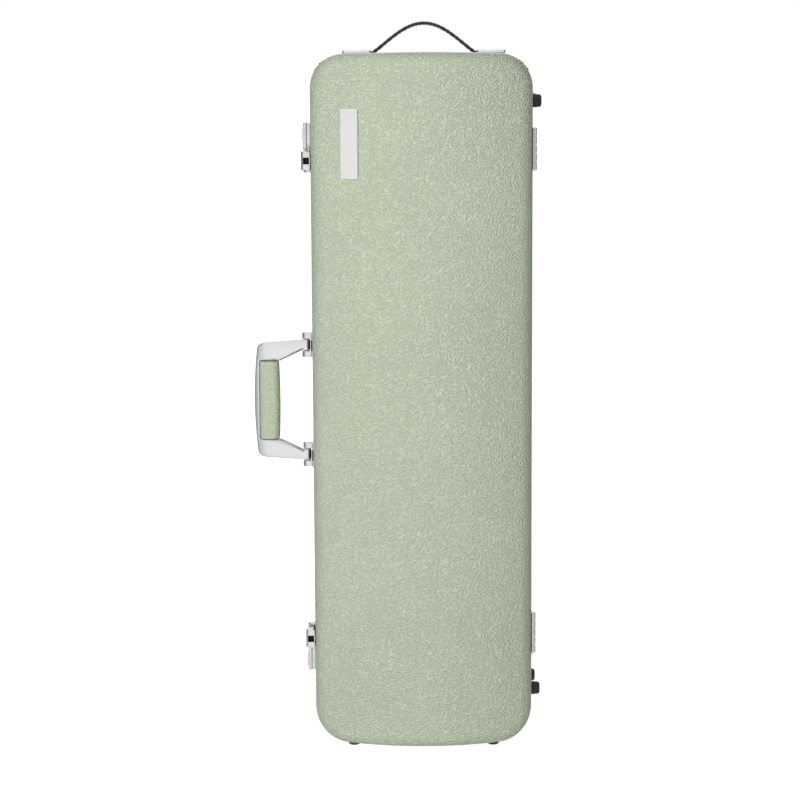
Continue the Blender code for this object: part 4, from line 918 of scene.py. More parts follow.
def band(path, middle_y, width, thickness, corner):
    """A flat band with round edges along a path of (x, z) places, its width across y."""
    half_width = width / 2 - corner
    half_height = thickness / 2 - corner
    section = []
    for quarter in range(4):
        middle_across = half_width if quarter in (0, 3) else -half_width
        middle_off = half_height if quarter < 2 else -half_height
        start = math.pi / 2 * quarter
        section += arc((middle_across, middle_off), corner, start, start + math.pi / 2, 3)
    rings = []
    for (x, z), way in zip(path, band_ways(path)):
        out = Vector((-way.z, 0.0, way.x))
        place = Vector((x, middle_y, z))
        rings.append([place + out * off + Vector((0.0, across, 0.0)) for across, off in section])
    return skinned(rings)


def band_stitches(path, middle_y, width, thickness, faces=(-1, 1)):
    """Two rows of stitches along the edges of a band, on the faces given."""
    spots = []
    ways = band_ways(path)
    walked = 0.0
    for k in range(2, len(path) - 3):
        walked += math.dist(path[k], path[k - 1])
        if walked < STITCH_GAP:
            continue
        walked -= STITCH_GAP
        out = Vector((-ways[k].z, 0.0, ways[k].x))
        for side in (-1, 1):
            y = middle_y + side * (width / 2 - STITCH_IN)
            for face in faces:
                place = Vector((path[k][0], y, path[k][1])) + out * face * thickness / 2
                spots.append((place, ways[k], out))
    return stitches(spots, STITCH_LENGTH, STITCH_THREAD)


top_path = strap_path()
top_band = band(top_path, STRAP_Y, STRAP_WIDTH, STRAP_THICKNESS, STRAP_CORNER)
top_thread = band_stitches(top_path, STRAP_Y, STRAP_WIDTH, STRAP_THICKNESS)
new_piece("top_strap_band", lean(top_band), strap_leather, "base", ["top_strap"])
new_piece("top_strap_thread", lean(top_thread), dark_thread, "base")
for side, word in ((-1, "left"), (1, "right")):
    inner = STRAP_OFFSET_X + side * (STRAP_HALF_SPAN + STRAP_FLAT)
    outer = inner + side * STRAP_PLATE_LENGTH
    bottom = strap_seat + GAP
    roof = bottom + STRAP_THICKNESS + GAP
    top = roof + STRAP_PLATE_ROOF
    plate_x = sorted((inner, outer))
    plate_y = about(STRAP_Y, STRAP_PLATE_WIDTH / 2)
    plate = plated(plate_x, plate_y, (bottom, top), 2, STRAP_PLATE_CORNER, STRAP_PLATE_ROUNDING)
    slot_end = STRAP_OFFSET_X + side * (STRAP_HALF_SPAN + STRAP_TUCK + GAP)
    slot_y = about(STRAP_Y, STRAP_WIDTH / 2 + GAP)
    slot = block(sorted((inner - side * STRAP_TUCK, slot_end)), slot_y, (bottom - STRAP_TUCK, roof))
    node = f"strap_plate_{word}"
    new_piece(f"{node}_cover", lean(carved(plate, slot)), bright_steel, "base", [node])
    centres = [(inner + side * along, STRAP_Y, top) for along in STRAP_SCREWS]
    heads = lean(screws(centres, 2, 1, STRAP_SCREW_RADIUS))
    new_piece(f"strap_screws_{word}", heads, bright_steel, "base")


# The carrying handle: a cast frame whose spine rounds away to the outside, with a leather grip inside it.
# It turns on pins between the lugs of two brackets, over dark pads that take the play.
HANDLE_ARM_WIDTH = 0.013
HANDLE_ARM_DROOP = 0.0037
HANDLE_CORNER_IN = 0.0110
HANDLE_CORNER_DOWN = 0.0115
HANDLE_SPINE_BOW = 0.0033
HANDLE_BRACE_IN = 0.0250
HANDLE_BRACE_DOWN = 0.0117
HANDLE_BRACE_START = 0.0137
HANDLE_ROUNDING = 0.0019
HANDLE_CHAMFER = 0.0026
HANDLE_TAPER_REACH = 0.015
HANDLE_TAPER_SHARE = 0.75
HANDLE_EYE_SHARE = 0.97
HANDLE_TURN_STEPS = 16
HANDLE_BOW_STEPS = 24
HANDLE_CUTS = 9
GRIP_ROUNDING = 0.0075
GRIP_END_ROUNDING = 0.0016
GRIP_BARREL = 0.0011
GRIP_STRIPS = 18
GRIP_STITCHES = 20
GRIP_STITCH = 0.0030
GRIP_THREAD = 0.00055
LUG_RADIUS = 0.0048
LUG_ROUNDING = 0.0009
LUG_CLEARANCE = 0.0005
LUG_STEPS = 16
BRACKET_PLATE = 0.0018
BRACKET_ROUNDING = 0.0005
BRACKET_SCREW_IN = 0.0035
BRACKET_SCREW_RADIUS = 0.0022
PAD_THICKNESS = 0.0009
PAD_CLEARANCE = 0.0004
PAD_CORNER = 0.001
PAD_ROUNDING = 0.0003
PAD_WRAP = 0.0013
PAD_PROUD = 0.0003

(frame_left, frame_right), frame_rise, (_, frame_high) = spans("handle_frame")
grip_reach = spans("handle_grip")
pivot = [sum(span) / 2 for span in spans("handle_pin_upper")]
arm_middle = frame_high - HANDLE_ARM_WIDTH / 2


def wall_x(y):
    """The face of the base's handle side at y, with its draft and the clearance to what lies on it."""
    return -shell_half_width + draft_slope * max(0.0, y - shell_edge - EDGE_FLAT) - GAP


def half_frame_outline():
    corner_x = frame_left + HANDLE_SPINE_BOW
    turn_z = frame_high - HANDLE_ARM_DROOP
    corner_z = turn_z - HANDLE_CORNER_DOWN + HANDLE_SPINE_BOW
    turn_x = corner_x + HANDLE_CORNER_IN
    outside = [(frame_right, frame_high)]
    for step in range(HANDLE_TURN_STEPS + 1):
        angle = math.pi / 2 * step / HANDLE_TURN_STEPS
        x = turn_x - (turn_x - corner_x) * math.sin(angle)
        outside.append((x, corner_z + (turn_z - corner_z) * math.cos(angle)))
    for step in range(1, HANDLE_BOW_STEPS + 1):
        z = corner_z * (1 - step / HANDLE_BOW_STEPS)
        outside.append((frame_left + HANDLE_SPINE_BOW * (z / corner_z) ** 2, z))
    seat_x = grip_reach[0][0] - GAP
    grip_end = grip_reach[2][1] + GAP
    arm_under = frame_high - HANDLE_ARM_WIDTH
    brace_start = -shell_half_width - HANDLE_BRACE_START
    brace_end = brace_start - HANDLE_BRACE_IN
    inside = [
        (seat_x, grip_end),
        (brace_end, grip_end),
        (brace_end, arm_under - HANDLE_BRACE_DOWN),
        (brace_start, arm_under),
        (frame_right, arm_under),
    ]
    return outside, inside


def brace_wedges(inside):
    """Wedges that cut a flat chamfer along both edges of each brace."""
    (far_x, far_z), (near_x, near_z) = inside[2], inside[3]
    along = Vector((near_x - far_x, 0.0, near_z - far_z)).normalized()
    away = Vector((along.z, 0.0, -along.x))
    start = Vector((far_x, 0.0, far_z)) - along * HANDLE_CHAMFER
    end = Vector((near_x, 0.0, near_z)) + along * HANDLE_CHAMFER
    wedges = []
    for side in (-1, 1):
        for face, inward in zip(frame_rise, (1, -1)):
            rings = []
            for place in (start, end):
                ring = []
                for out, deep in ((-1, -1), (-1, 0), (0, 1), (1, 1), (1, -1)):
                    spot = place + away * out * HANDLE_CHAMFER
                    ring.append((spot.x, face + inward * deep * HANDLE_CHAMFER, side * spot.z))
                rings.append(ring)
            wedges.append(skinned(rings))
    return wedges


def handle_frame():
    """The whole frame: its spine thins out to the outer edge, and its arms end in round eyes."""
    outside, inside = half_frame_outline()
    outline = outside + [(x, -z) for x, z in reversed(outside[:-1])]
    outline += [(x, -z) for x, z in reversed(inside)] + inside
    shape = rounded(prism(outline, 1, frame_rise), HANDLE_ROUNDING, 4)
    shape = carved(shape, *brace_wedges(inside))
    eye_reach = frame_right - pivot[0]
    spine = [frame_left + HANDLE_TAPER_REACH * (k + 0.5) / HANDLE_CUTS for k in range(HANDLE_CUTS)]
    eyes = [pivot[0] + eye_reach * math.sin(math.pi / 2 * k / HANDLE_CUTS) for k in range(HANDLE_CUTS)]
    cut_strips(shape, 0, spine + eyes)
    for vert in shape.verts:
        share = min(1.0, max(0.0, 1 - (vert.co.x - frame_left) / HANDLE_TAPER_REACH))
        past_pin = max(0.0, vert.co.x - pivot[0]) / eye_reach
        eye = math.sqrt(1 - (HANDLE_EYE_SHARE * past_pin) ** 2)
        vert.co.y = pivot[1] + (vert.co.y - pivot[1]) * (1 - HANDLE_TAPER_SHARE * share**2) * eye
    bmesh.ops.remove_doubles(shape, verts=shape.verts, dist=NEAR_PLACE)
    return shape


def handle_grip():
    shape = block(*grip_reach)
    long_edges = [e for e in shape.edges if e.verts[0].co.z != e.verts[1].co.z]
    round_edges(shape, long_edges, GRIP_ROUNDING, 8)
    low, high = grip_reach[2]
    ends = [e for e in shape.edges if all(abs(abs(v.co.z) - high) < SAME_PLACE for v in e.verts)]
    round_edges(shape, ends, GRIP_END_ROUNDING, 4)
    cut_strips(shape, 2, [low + (high - low) * k / GRIP_STRIPS for k in range(1, GRIP_STRIPS)])
    middle = [sum(span) / 2 for span in grip_reach[:2]]
    half_width = (grip_reach[0][1] - grip_reach[0][0]) / 2
    for vert in shape.verts:
        thin = GRIP_BARREL * (vert.co.z / high) ** 2 / half_width
        vert.co.x -= (vert.co.x - grip_reach[0][0]) * thin / 2
        vert.co.y -= (vert.co.y - middle[1]) * thin
    return shape


def grip_stitches():
    """A sewn seam down the side of the grip that faces the case."""
    low, high = grip_reach[2]
    slant = Vector((0.0, 0.5, 1.0)).normalized()
    spots = []
    for k in range(GRIP_STITCHES):
        z = low + (high - low) * (k + 1) / (GRIP_STITCHES + 1)
        x = grip_reach[0][1] - GRIP_BARREL * (z / high) ** 2
        spots.append((Vector((x, pivot[1], z)), slant, Vector((1.0, 0.0, 0.0))))
    return stitches(spots, GRIP_STITCH, GRIP_THREAD)


new_piece("handle_cast_frame", handle_frame(), cast_alloy, "handle", ["handle_frame"])
new_piece("handle_leather_grip", handle_grip(), sage_grip, "handle", ["handle_grip"])
new_piece("handle_grip_thread", grip_stitches(), sage_thread, "handle")

for side, word in ((-1, "lower"), (1, "upper")):
    node = f"handle_bracket_{word}"
    _, bracket_y, bracket_z = spans(node)
    middle = side * arm_middle
    face = wall_x(0.0) - BRACKET_PLATE
    outline = [(face, bracket_y[0]), (wall_x(bracket_y[0]), bracket_y[0])]
    outline += [(wall_x(bracket_y[1]), bracket_y[1]), (face, bracket_y[1])]
    plate = rounded(prism(outline, 2, bracket_z), BRACKET_ROUNDING)
    lug_foot = face + BRACKET_PLATE / 2
    lug = [(lug_foot, pivot[1] - LUG_RADIUS)]
    lug += arc(pivot, LUG_RADIUS, 1.5 * math.pi, 0.5 * math.pi, LUG_STEPS)
    lug.append((lug_foot, pivot[1] + LUG_RADIUS))
    lugs = []
    for end, far in zip((-1, 1), bracket_z):
        lug_z = sorted((middle + end * (HANDLE_ARM_WIDTH / 2 + LUG_CLEARANCE), far))
        lugs.append(rounded(prism(lug, 2, lug_z), LUG_ROUNDING))
    bracket = carved(plate, *lugs, operation="UNION")
    new_piece(f"{node}_cast", bracket, cast_alloy, "base", [node])
    pad_x = (face - PAD_THICKNESS, face + PAD_WRAP)
    pad_y = (bracket_y[0] - PAD_PROUD, bracket_y[1] + PAD_PROUD)
    pad_z = about(middle, HANDLE_ARM_WIDTH / 2 - PAD_CLEARANCE)
    pad = plated(pad_x, pad_y, pad_z, 0, PAD_CORNER, PAD_ROUNDING)
    new_piece(f"handle_pad_{word}", pad, black_rubber, "base")
    centres = []
    for row_y in (bracket_y[0] + BRACKET_SCREW_IN, bracket_y[1] - BRACKET_SCREW_IN):
        for z in about(middle, HANDLE_ARM_WIDTH / 2 + BRACKET_SCREW_IN):
            centres.append((face, row_y, z))
    heads = screws(centres, 0, -1, BRACKET_SCREW_RADIUS)
    new_piece(f"handle_screws_{word}", heads, bright_steel, "base")
    node = f"handle_pin_{word}"
    new_piece(f"handle_pivot_{word}", upright_pin(node), bright_steel, "base", [node])


# Two draw latches beside the handle, mirrored about the case's middle, of cast alloy on steel pins.
# Each has a stepped housing with a ridged thumb piece, a windowed hasp and a keeper screwed to the lid's rim.
HASP_AXIS = [sum(span) / 2 for span in spans("hasp_pin_upper")[:2]]
LATCH_HOUSING_LENGTH = 0.031
LATCH_BASE_OUT = 0.0052
LATCH_STEP_IN = 0.0008
LATCH_LUG = 0.003
LATCH_LUG_STEPS = 12
LATCH_LUG_ROUNDING = 0.0006
LATCH_PLATE = 0.0018
LATCH_CORNER = 0.0018
LATCH_ROUNDING = 0.0008
LATCH_FINE_ROUNDING = 0.0004
RIVET_IN = 0.0035
RIVET_DOWN = 0.0034
RIVET_RADIUS = 0.0015
THUMB_RIDGES = 7
THUMB_RIDGE_SHARES = (0.3, 0.7)
THUMB_RIDGE_DEPTH = 0.0007
THUMB_ROUNDING = 0.0003
THUMB_STEM_WIDTH = 0.006
THUMB_STEM_LENGTH = 0.011
THUMB_TRAVEL = 0.006
THUMB_SLOT_DEPTH = 0.0035
HASP_BARREL_RADIUS = 0.0042
HASP_BARREL_START = math.radians(165)
HASP_BARREL_STEPS = 24
HASP_WALL = 0.0022
HASP_LIFT = 0.0022
HASP_LIP = 0.0019
HASP_LIP_GAP = 0.0007
HASP_WINDOW = 0.0076
HASP_CHAMFER = 0.0035
KEEPER_PLATE = 0.0012
KEEPER_PLATE_FRONT = -0.0092
KEEPER_CORNER = 0.0015
KEEPER_ROUNDING = 0.0003
KEEPER_POST_WIDTH = 0.003
KEEPER_POST_FRONT = -0.0055
KEEPER_POST_SUNK = 0.0005
KEEPER_BAR_LENGTH = 0.0064
KEEPER_BAR_THICKNESS = 0.0015
KEEPER_BAR_FRONT = -0.0085
KEEPER_BAR_BACK = 0.001
KEEPER_BAR_ROUNDING = 0.0004
KEEPER_SCREW_Y = -0.0053
KEEPER_SCREW_APART = 0.0062
KEEPER_SCREW_RADIUS = 0.0013
RUNNING_GAP = 0.0005


def to_end(shape, side):
    """Shapes are drawn for the upper latch; the lower one is their mirror image."""
    if side < 0:
        bmesh.ops.scale(shape, vec=(1.0, 1.0, -1.0), verts=shape.verts)
        bmesh.ops.reverse_faces(shape, faces=shape.faces)
    return shape


def latch_housing(housing, thumb):
    """The two steps of the housing with the thumb's slot, the plate under the hasp and its outer lug."""
    (out, _), (front, back), (low, high) = housing
    body_low = high - LATCH_HOUSING_LENGTH
    step_x = -shell_half_width - LATCH_BASE_OUT
    near, far = front + LATCH_STEP_IN, back - LATCH_STEP_IN
    outline = [(step_x, near), (wall_x(near), near), (wall_x(far), far), (step_x, far)]
    base_z = (body_low + LATCH_STEP_IN / 2, high - LATCH_STEP_IN)
    base = rounded(prism(outline, 2, base_z), LATCH_FINE_ROUNDING, 2)
    cover = plated((out, step_x), (front, back), (body_low, high), 0, LATCH_CORNER, LATCH_ROUNDING)
    slot_x = (out - THUMB_SLOT_DEPTH, out + THUMB_SLOT_DEPTH / 2)
    slot_y = about(sum(thumb[1]) / 2, THUMB_STEM_WIDTH / 2 + RUNNING_GAP)
    slot_low, slot_high = about(sum(thumb[2]) / 2, THUMB_STEM_LENGTH / 2 + RUNNING_GAP)
    cover = carved(cover, block(slot_x, slot_y, (slot_low - THUMB_TRAVEL, slot_high)))
    plate_front = HASP_AXIS[1] + HASP_BARREL_RADIUS + RUNNING_GAP
    plate_back = back - LATCH_STEP_IN
    plate_x = -shell_half_width - GAP - LATCH_PLATE
    outline = [(plate_x, plate_front), (wall_x(plate_front), plate_front)]
    outline += [(wall_x(plate_back), plate_back), (plate_x, plate_back)]
    plate = rounded(prism(outline, 2, (low, body_low + LATCH_LUG)), LATCH_FINE_ROUNDING, 2)
    lug_front = HASP_AXIS[1] - HASP_BARREL_RADIUS
    outline = [(plate_x, lug_front)]
    outline += arc(HASP_AXIS, HASP_BARREL_RADIUS, 1.5 * math.pi, 0.5 * math.pi, LATCH_LUG_STEPS)
    outline += [(wall_x(plate_back), plate_front + LATCH_LUG), (wall_x(0.0), lug_front)]
    lug = rounded(prism(outline, 2, (low, low + LATCH_LUG)), LATCH_LUG_ROUNDING)
    return together(base, cover, plate, lug)


def thumb_piece(reach):
    """A ridged thumb piece on its stem."""
    (out, inside), (front, back), (low, high) = reach
    seat = inside - THUMB_SLOT_DEPTH + GAP
    top = out + THUMB_RIDGE_DEPTH
    outline = [(seat, low), (top, low)]
    pitch = (high - low) / THUMB_RIDGES
    for ridge in range(THUMB_RIDGES):
        start = low + ridge * pitch
        outline += [(out, start + pitch * share) for share in THUMB_RIDGE_SHARES]
        if ridge < THUMB_RIDGES - 1:
            outline.append((top, start + pitch))
    outline += [(top, high), (seat, high)]
    head = rounded(prism(outline, 1, (front, back)), THUMB_ROUNDING, 2)
    stem_y = about((front + back) / 2, THUMB_STEM_WIDTH / 2)
    stem_z = about((low + high) / 2, THUMB_STEM_LENGTH / 2)
    return carved(head, block((seat - THUMB_RIDGE_DEPTH, inside), stem_y, stem_z), operation="UNION")


def hasp_body(reach):
    """A hollow lever round its barrel, with a window in its front and a lip turned in to the lid."""
    (outer, _), (front, _), (low, high) = reach
    inner = -shell_half_width - HASP_LIFT
    lip_x = -shell_half_width - HASP_LIP_GAP
    axis_x, axis_y = HASP_AXIS
    radius = HASP_BARREL_RADIUS
    outline = [
        (inner, front + HASP_LIP),
        (lip_x, front + HASP_LIP),
        (lip_x, front),
        (outer + HASP_CHAMFER / 2, front),
        (outer, front + HASP_CHAMFER),
        (outer, axis_y - HASP_CHAMFER),
        (axis_x - radius, axis_y),
    ]
    last = -math.acos((inner - axis_x) / radius)
    outline += arc(HASP_AXIS, radius, HASP_BARREL_START, last, HASP_BARREL_STEPS)
    shape = rounded(prism(outline, 2, (low, high)), LATCH_ROUNDING)
    middle = (low + high) / 2
    half = (high - low) / 2 - HASP_WALL
    wall_front, wall_end = front + HASP_WALL, axis_y - radius - HASP_WALL / 2
    cavity = block((outer + HASP_WALL, inner + HASP_WALL), (wall_front, wall_end), about(middle, half))
    window_x = (outer + HASP_WALL, inner + 2 * HASP_WALL)
    window_y = (front - HASP_WALL, front + 2 * HASP_WALL)
    window = block(window_x, window_y, about(middle, HASP_WINDOW / 2))
    shape = carved(shape, cavity, window)
    # The faces inside the hollow behind the window take the second finish, a near-black alloy: painted shade.
    for face in shape.faces:
        spot = face.calc_center_median()
        deep = spot.x > outer + HASP_WALL - NEAR_PLACE and abs(spot.z - middle) < half + NEAR_PLACE
        if deep and wall_front - NEAR_PLACE < spot.y < wall_end + NEAR_PLACE:
            face.material_index = 1
    return shape


def keeper(reach, middle):
    """A plate on the lid's rim, with two screws beside a post that carries a short cross bar."""
    (out, back), (front, inner), (low, high) = reach
    plate_x = back - KEEPER_PLATE
    plate_y = (KEEPER_PLATE_FRONT, inner)
    plate = plated((plate_x, back), plate_y, (low, high), 0, KEEPER_CORNER, KEEPER_ROUNDING)
    post_x = (out + KEEPER_BAR_THICKNESS / 2, back - KEEPER_POST_SUNK)
    post_y = (KEEPER_POST_FRONT, inner - KEEPER_POST_SUNK)
    post = block(post_x, post_y, about(middle, KEEPER_POST_WIDTH / 2))
    bar_y = (KEEPER_BAR_FRONT, inner - KEEPER_BAR_BACK)
    bar = block((out, out + KEEPER_BAR_THICKNESS), bar_y, about(middle, KEEPER_BAR_LENGTH / 2))
    shape = carved(plate, post, rounded(bar, KEEPER_BAR_ROUNDING, 2), operation="UNION")
    # The post and the cross bar, which stand out from the plate inside the hasp, take the second finish, a
    # near-black alloy: painted shade.
    for face in shape.faces:
        if face.calc_center_median().x < plate_x - NEAR_PLACE:
            face.material_index = 1
    return shape


housing = spans("latch_housing_upper")
thumb = spans("latch_thumb_upper")
hasp = spans("hasp_upper")
catch = spans("latch_keeper_upper")
middle = sum(hasp[2]) / 2
rivet_y = housing[1][1] - RIVET_DOWN
rivet_spots = [(housing[0][0], rivet_y, housing[2][1] - RIVET_IN)]
rivet_spots.append((housing[0][0], rivet_y, housing[2][1] - LATCH_HOUSING_LENGTH + RIVET_IN))
catch_spots = [(catch[0][1] - KEEPER_PLATE, KEEPER_SCREW_Y, z) for z in about(middle, KEEPER_SCREW_APART)]
for side, word in ((1, "upper"), (-1, "lower")):
    node = f"latch_housing_{word}"
    cast = to_end(latch_housing(housing, thumb), side)
    new_piece(f"{node}_cast", cast, cast_alloy, "base", [node])
    rivets = to_end(screws(rivet_spots, 0, -1, RIVET_RADIUS), side)
    new_piece(f"latch_rivets_{word}", rivets, bright_steel, "base")
    node = f"latch_thumb_{word}"
    ridged = to_end(thumb_piece(thumb), side)
    new_piece(f"{node}_ridged", ridged, cast_alloy, f"{word}_thumb", [node])
    node = f"hasp_{word}"
    lever = to_end(hasp_body(hasp), side)
    lever = new_piece(f"latch_{node}", lever, cast_alloy, f"{word}_hasp", [node])
    lever.data.materials.append(shadowed_alloy)
    pin = to_end(upright_pin("hasp_pin_upper"), side)
    new_piece(f"latch_pin_{word}", pin, bright_steel, "base", [f"hasp_pin_{word}"])
    node = f"latch_keeper_{word}"
    plate = to_end(keeper(catch, middle), side)
    plate = new_piece(f"{node}_plate", plate, bright_steel, "lid", [node])
    plate.data.materials.append(shadowed_alloy)
    heads = to_end(screws(catch_spots, 0, -1, KEEPER_SCREW_RADIUS), side)
    new_piece(f"latch_screws_{word}", heads, bright_steel, "lid")


# Two butt hinges of plated steel on the other long side, screwed to both shells.
# The base's leaf and the lid's leaf carry turned knuckles in turn, on one pin.
KNUCKLE_COUNT = 5
KNUCKLE_RADIUS = 0.0024
KNUCKLE_GROOVE = 0.0003
KNUCKLE_GROOVE_SHARES = (1.4, 1.3)
KNUCKLE_GAP = 0.0010
HINGE_LEAF = 0.0012
HINGE_CORNER = 0.0016
HINGE_ROUNDING = 0.00035
HINGE_INSET = 0.00005
HINGE_TONGUE = 0.002
HINGE_SCREW_SHARES = (-0.34, 0.0, 0.34)
HINGE_SCREW_RADIUS = 0.0022


def knuckle(x, low, high):
    """A knuckle with rounded ends and two fine grooves."""
    soft = KNUCKLE_GROOVE
    radius = KNUCKLE_RADIUS
    profile = soft_rod(radius, low, high, soft)
    grooves = []
    for share in (1 / 3, 2 / 3):
        groove = low + (high - low) * share
        groove_low, groove_high = about(groove, KNUCKLE_GROOVE_SHARES[0] * soft)
        grooves += [(radius, groove_low), (radius - KNUCKLE_GROOVE_SHARES[1] * soft, groove)]
        grooves.append((radius, groove_high))
    return turned(profile[:3] + grooves + profile[3:], (x, 0.0, 0.0), 2)


for word in ("upper", "lower"):
    hinge_x = sum(spans(f"hinge_pin_{word}")[0]) / 2
    low, high = spans(f"hinge_leaf_base_{word}")[2]
    pitch = (high - low) / KNUCKLE_COUNT
    for body, facing, first in (("base", 1, 0), ("lid", -1, 1)):
        node = f"hinge_leaf_{body}_{word}"
        (back, _), (near, far), _ = spans(node)
        face = back + HINGE_LEAF
        edge = far if facing > 0 else near
        start = facing * (KNUCKLE_RADIUS + RUNNING_GAP)
        leaf_y = sorted((start, edge))
        tongue_x = (back + HINGE_INSET, face - HINGE_INSET)
        tongue_y = sorted((0.0, start + facing * HINGE_TONGUE))
        parts = [plated((back, face), leaf_y, (low, high), 0, HINGE_CORNER, HINGE_ROUNDING)]
        for k in range(first, KNUCKLE_COUNT, 2):
            knuckle_low = low + k * pitch + KNUCKLE_GAP / 2
            knuckle_high = low + (k + 1) * pitch - KNUCKLE_GAP / 2
            tongue_z = (knuckle_low + HINGE_INSET, knuckle_high - HINGE_INSET)
            parts.append(block(tongue_x, tongue_y, tongue_z))
            parts.append(knuckle(hinge_x, knuckle_low, knuckle_high))
        new_piece(f"{node}_plate", together(*parts), bright_steel, body, [node])
        centres = []
        for share in HINGE_SCREW_SHARES:
            centres.append((face, (start + edge) / 2, (low + high) / 2 + share * (high - low)))
        heads = screws(centres, 0, 1, HINGE_SCREW_RADIUS)
        new_piece(f"hinge_screws_{body}_{word}", heads, bright_steel, body)
    node = f"hinge_pin_{word}"
    new_piece(f"{node}_rod", upright_pin(node), bright_steel, "base", [node])


# A bare plate of brushed alloy, glued on near the upper end of the lid.
# The CAD solid itself shows, in the plate's own finish.
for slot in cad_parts["lid_plate"].material_slots:
    slot.material = plate_alloy


# The base is filled with foam under grey plush, hollowed for the instrument, with piping round the hollows.
# Foam edges are soft: solids are remeshed, smoothed and drawn in, so that the plush rolls over every edge.
CUSHION_PITCH = 0.0034
CUSHION_ROUNDS = 7
CUSHION_DRAWN_IN = 0.0007
CUSHION_DIMPLE = 0.0012
CUSHION_WAVES = (71.0, 53.0)
CUSHION_WAVE_START = 0.7
CUSHION_NODES = ["cushion_lower_bout", "cushion_upper_bout", "cushion_neck", "cushion_head", "cushion_end"]
PIPING_RADIUS = 0.0013
PIPING_STEP = 0.005
PIPING_SIDES = 10
VIOLIN_LENGTH = 0.368
VIOLIN_HALF_WIDTH = 0.109
VIOLIN_SHARES = (
    (0.00, 0.00),
    (0.01, 0.42),
    (0.07, 0.80),
    (0.20, 1.00),
    (0.33, 0.88),
    (0.43, 0.66),
    (0.54, 0.58),
    (0.64, 0.64),
    (0.73, 0.80),
    (0.83, 0.84),
    (0.93, 0.66),
    (0.99, 0.30),
)
NECK_HALF_WIDTH = 0.030
PEGBOX_HALF_WIDTH = 0.041
PEGBOX_LENGTH = 0.106


def copied(*nodes, overlap=0.0):
    """The CAD solids' shapes from the case's middle, each but the last made longer to overlap the next."""
    made = []
    for node in nodes:
        shape = bmesh.new()
        shape.from_mesh(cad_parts[node].data)
        bmesh.ops.remove_doubles(shape, verts=shape.verts, dist=SAME_PLACE)
        bmesh.ops.translate(shape, vec=-CASE, verts=shape.verts)
        top = max(vert.co.z for vert in shape.verts)
        for vert in shape.verts:
            if node != nodes[-1] and top - vert.co.z < SAME_PLACE:
                vert.co.z += overlap
        made.append(shape)
    return carved(*made, operation="UNION") if len(made) > 1 else made[0]


def softened(shape, pitch, rounds, drawn_in):
    """Rounds all the edges of a solid: even small faces, smoothed over and drawn in."""
    passing = passing_object(shape)
    even = passing.modifiers.new("even", "REMESH")
    even.mode = "VOXEL"
    even.voxel_size = pitch
    result = after_modifiers(passing)
    every_way = {"use_axis_x": True, "use_axis_y": True, "use_axis_z": True}
    for _ in range(rounds):
        bmesh.ops.smooth_vert(result, verts=result.verts, factor=0.5, **every_way)
    result.normal_update()
    moved = [vert.co - vert.normal * drawn_in for vert in result.verts]
    for vert, place in zip(result.verts, moved):
        vert.co = place
    return result


def smooth_line(points, steps):
    """A smooth line through points, on cubic stretches whose slopes follow the neighbours."""
    line = []
    last = len(points) - 1
    for k in range(last):
        before, start, end, after = (points[max(0, min(last, k + shift))] for shift in (-1, 0, 1, 2))
        for step in range(steps):
            t = step / steps
            row = []
            for a, b, c, d in zip(before, start, end, after):
                bend = 2 * a - 5 * b + 4 * c - d
                turn = 3 * (b - c) + d - a
                row.append(b + ((c - a) * t + bend * t**2 + turn * t**3) / 2)
            line.append(tuple(row))
    line.append(points[last])
    return line


def eased(path, rounds=2):
    """A closed path with even steps, whose corners are rounded off."""
    made = []
    for start, end in zip(path, path[1:] + path[:1]):
        count = max(1, round(math.dist(start, end) / PIPING_STEP))
        for k in range(count):
            made.append([a + (b - a) * k / count for a, b in zip(start, end)])
    for _ in range(rounds):
        cut = []
        for start, end in zip(made, made[1:] + made[:1]):
            for share in (0.25, 0.75):
                cut.append([a + (b - a) * share for a, b in zip(start, end)])
        made = cut
    return made


def piping(path, y, radius, outward):
    """A round cord along a closed path of (x, z) places, moved outward from it."""
    rings = []
    for before, spot, after in zip(path[-1:] + path[:-1], path, path[1:] + path[:1]):
        run = Vector((after[0] - before[0], 0.0, after[1] - before[1])).normalized()
        out = Vector((run.z, 0.0, -run.x))
        place = Vector((spot[0], y, spot[1])) + out * outward
        around = arc((0.0, 0.0), radius, 0.0, 2 * math.pi, PIPING_SIDES)[:-1]
        rings.append([place + out * wide + Vector((0.0, deep, 0.0)) for wide, deep in around])
    return skinned(rings, closed=True)


def instrument_outline():
    """The edge of the joined hollows for the violin's body, neck and pegbox, as (x, z)."""
    body_top = spans("cushion_neck")[2][0] - GAP / 2
    neck_top = spans("cushion_head")[2][0] - GAP / 2
    violin_low = body_top - VIOLIN_LENGTH
    right = []
    for along, width in smooth_line(VIOLIN_SHARES, 5)[:-1]:
        right.append((width * VIOLIN_HALF_WIDTH, violin_low + along * VIOLIN_LENGTH))
    right += [(NECK_HALF_WIDTH, body_top), (NECK_HALF_WIDTH, neck_top)]
    right += [(PEGBOX_HALF_WIDTH, neck_top), (PEGBOX_HALF_WIDTH, neck_top + PEGBOX_LENGTH)]
    left = [(-x, z) for x, z in reversed(right[1:])]
    return right + left


def corners_of(x_span, z_span):
    (left, right), (low, high) = x_span, z_span
    return [(left, low), (right, low), (right, high), (left, high)]


cushion_top = spans("cushion_end")[1][0]
foam = copied(*CUSHION_NODES, overlap=2 * GAP)
foam = softened(foam, CUSHION_PITCH, CUSHION_ROUNDS, CUSHION_DRAWN_IN)
for vert in foam.verts:
    if vert.normal.y < -FACING_SHARE and vert.co.y < cushion_top + 3 * CUSHION_DIMPLE:
        swell = math.sin(vert.co.x * CUSHION_WAVES[0])
        swell *= math.sin(vert.co.z * CUSHION_WAVES[1] + CUSHION_WAVE_START)
        vert.co.y += CUSHION_DIMPLE * (0.5 + 0.5 * swell)
cushion = new_piece("base_plush_cushion", foam, grey_plush, "base", CUSHION_NODES)

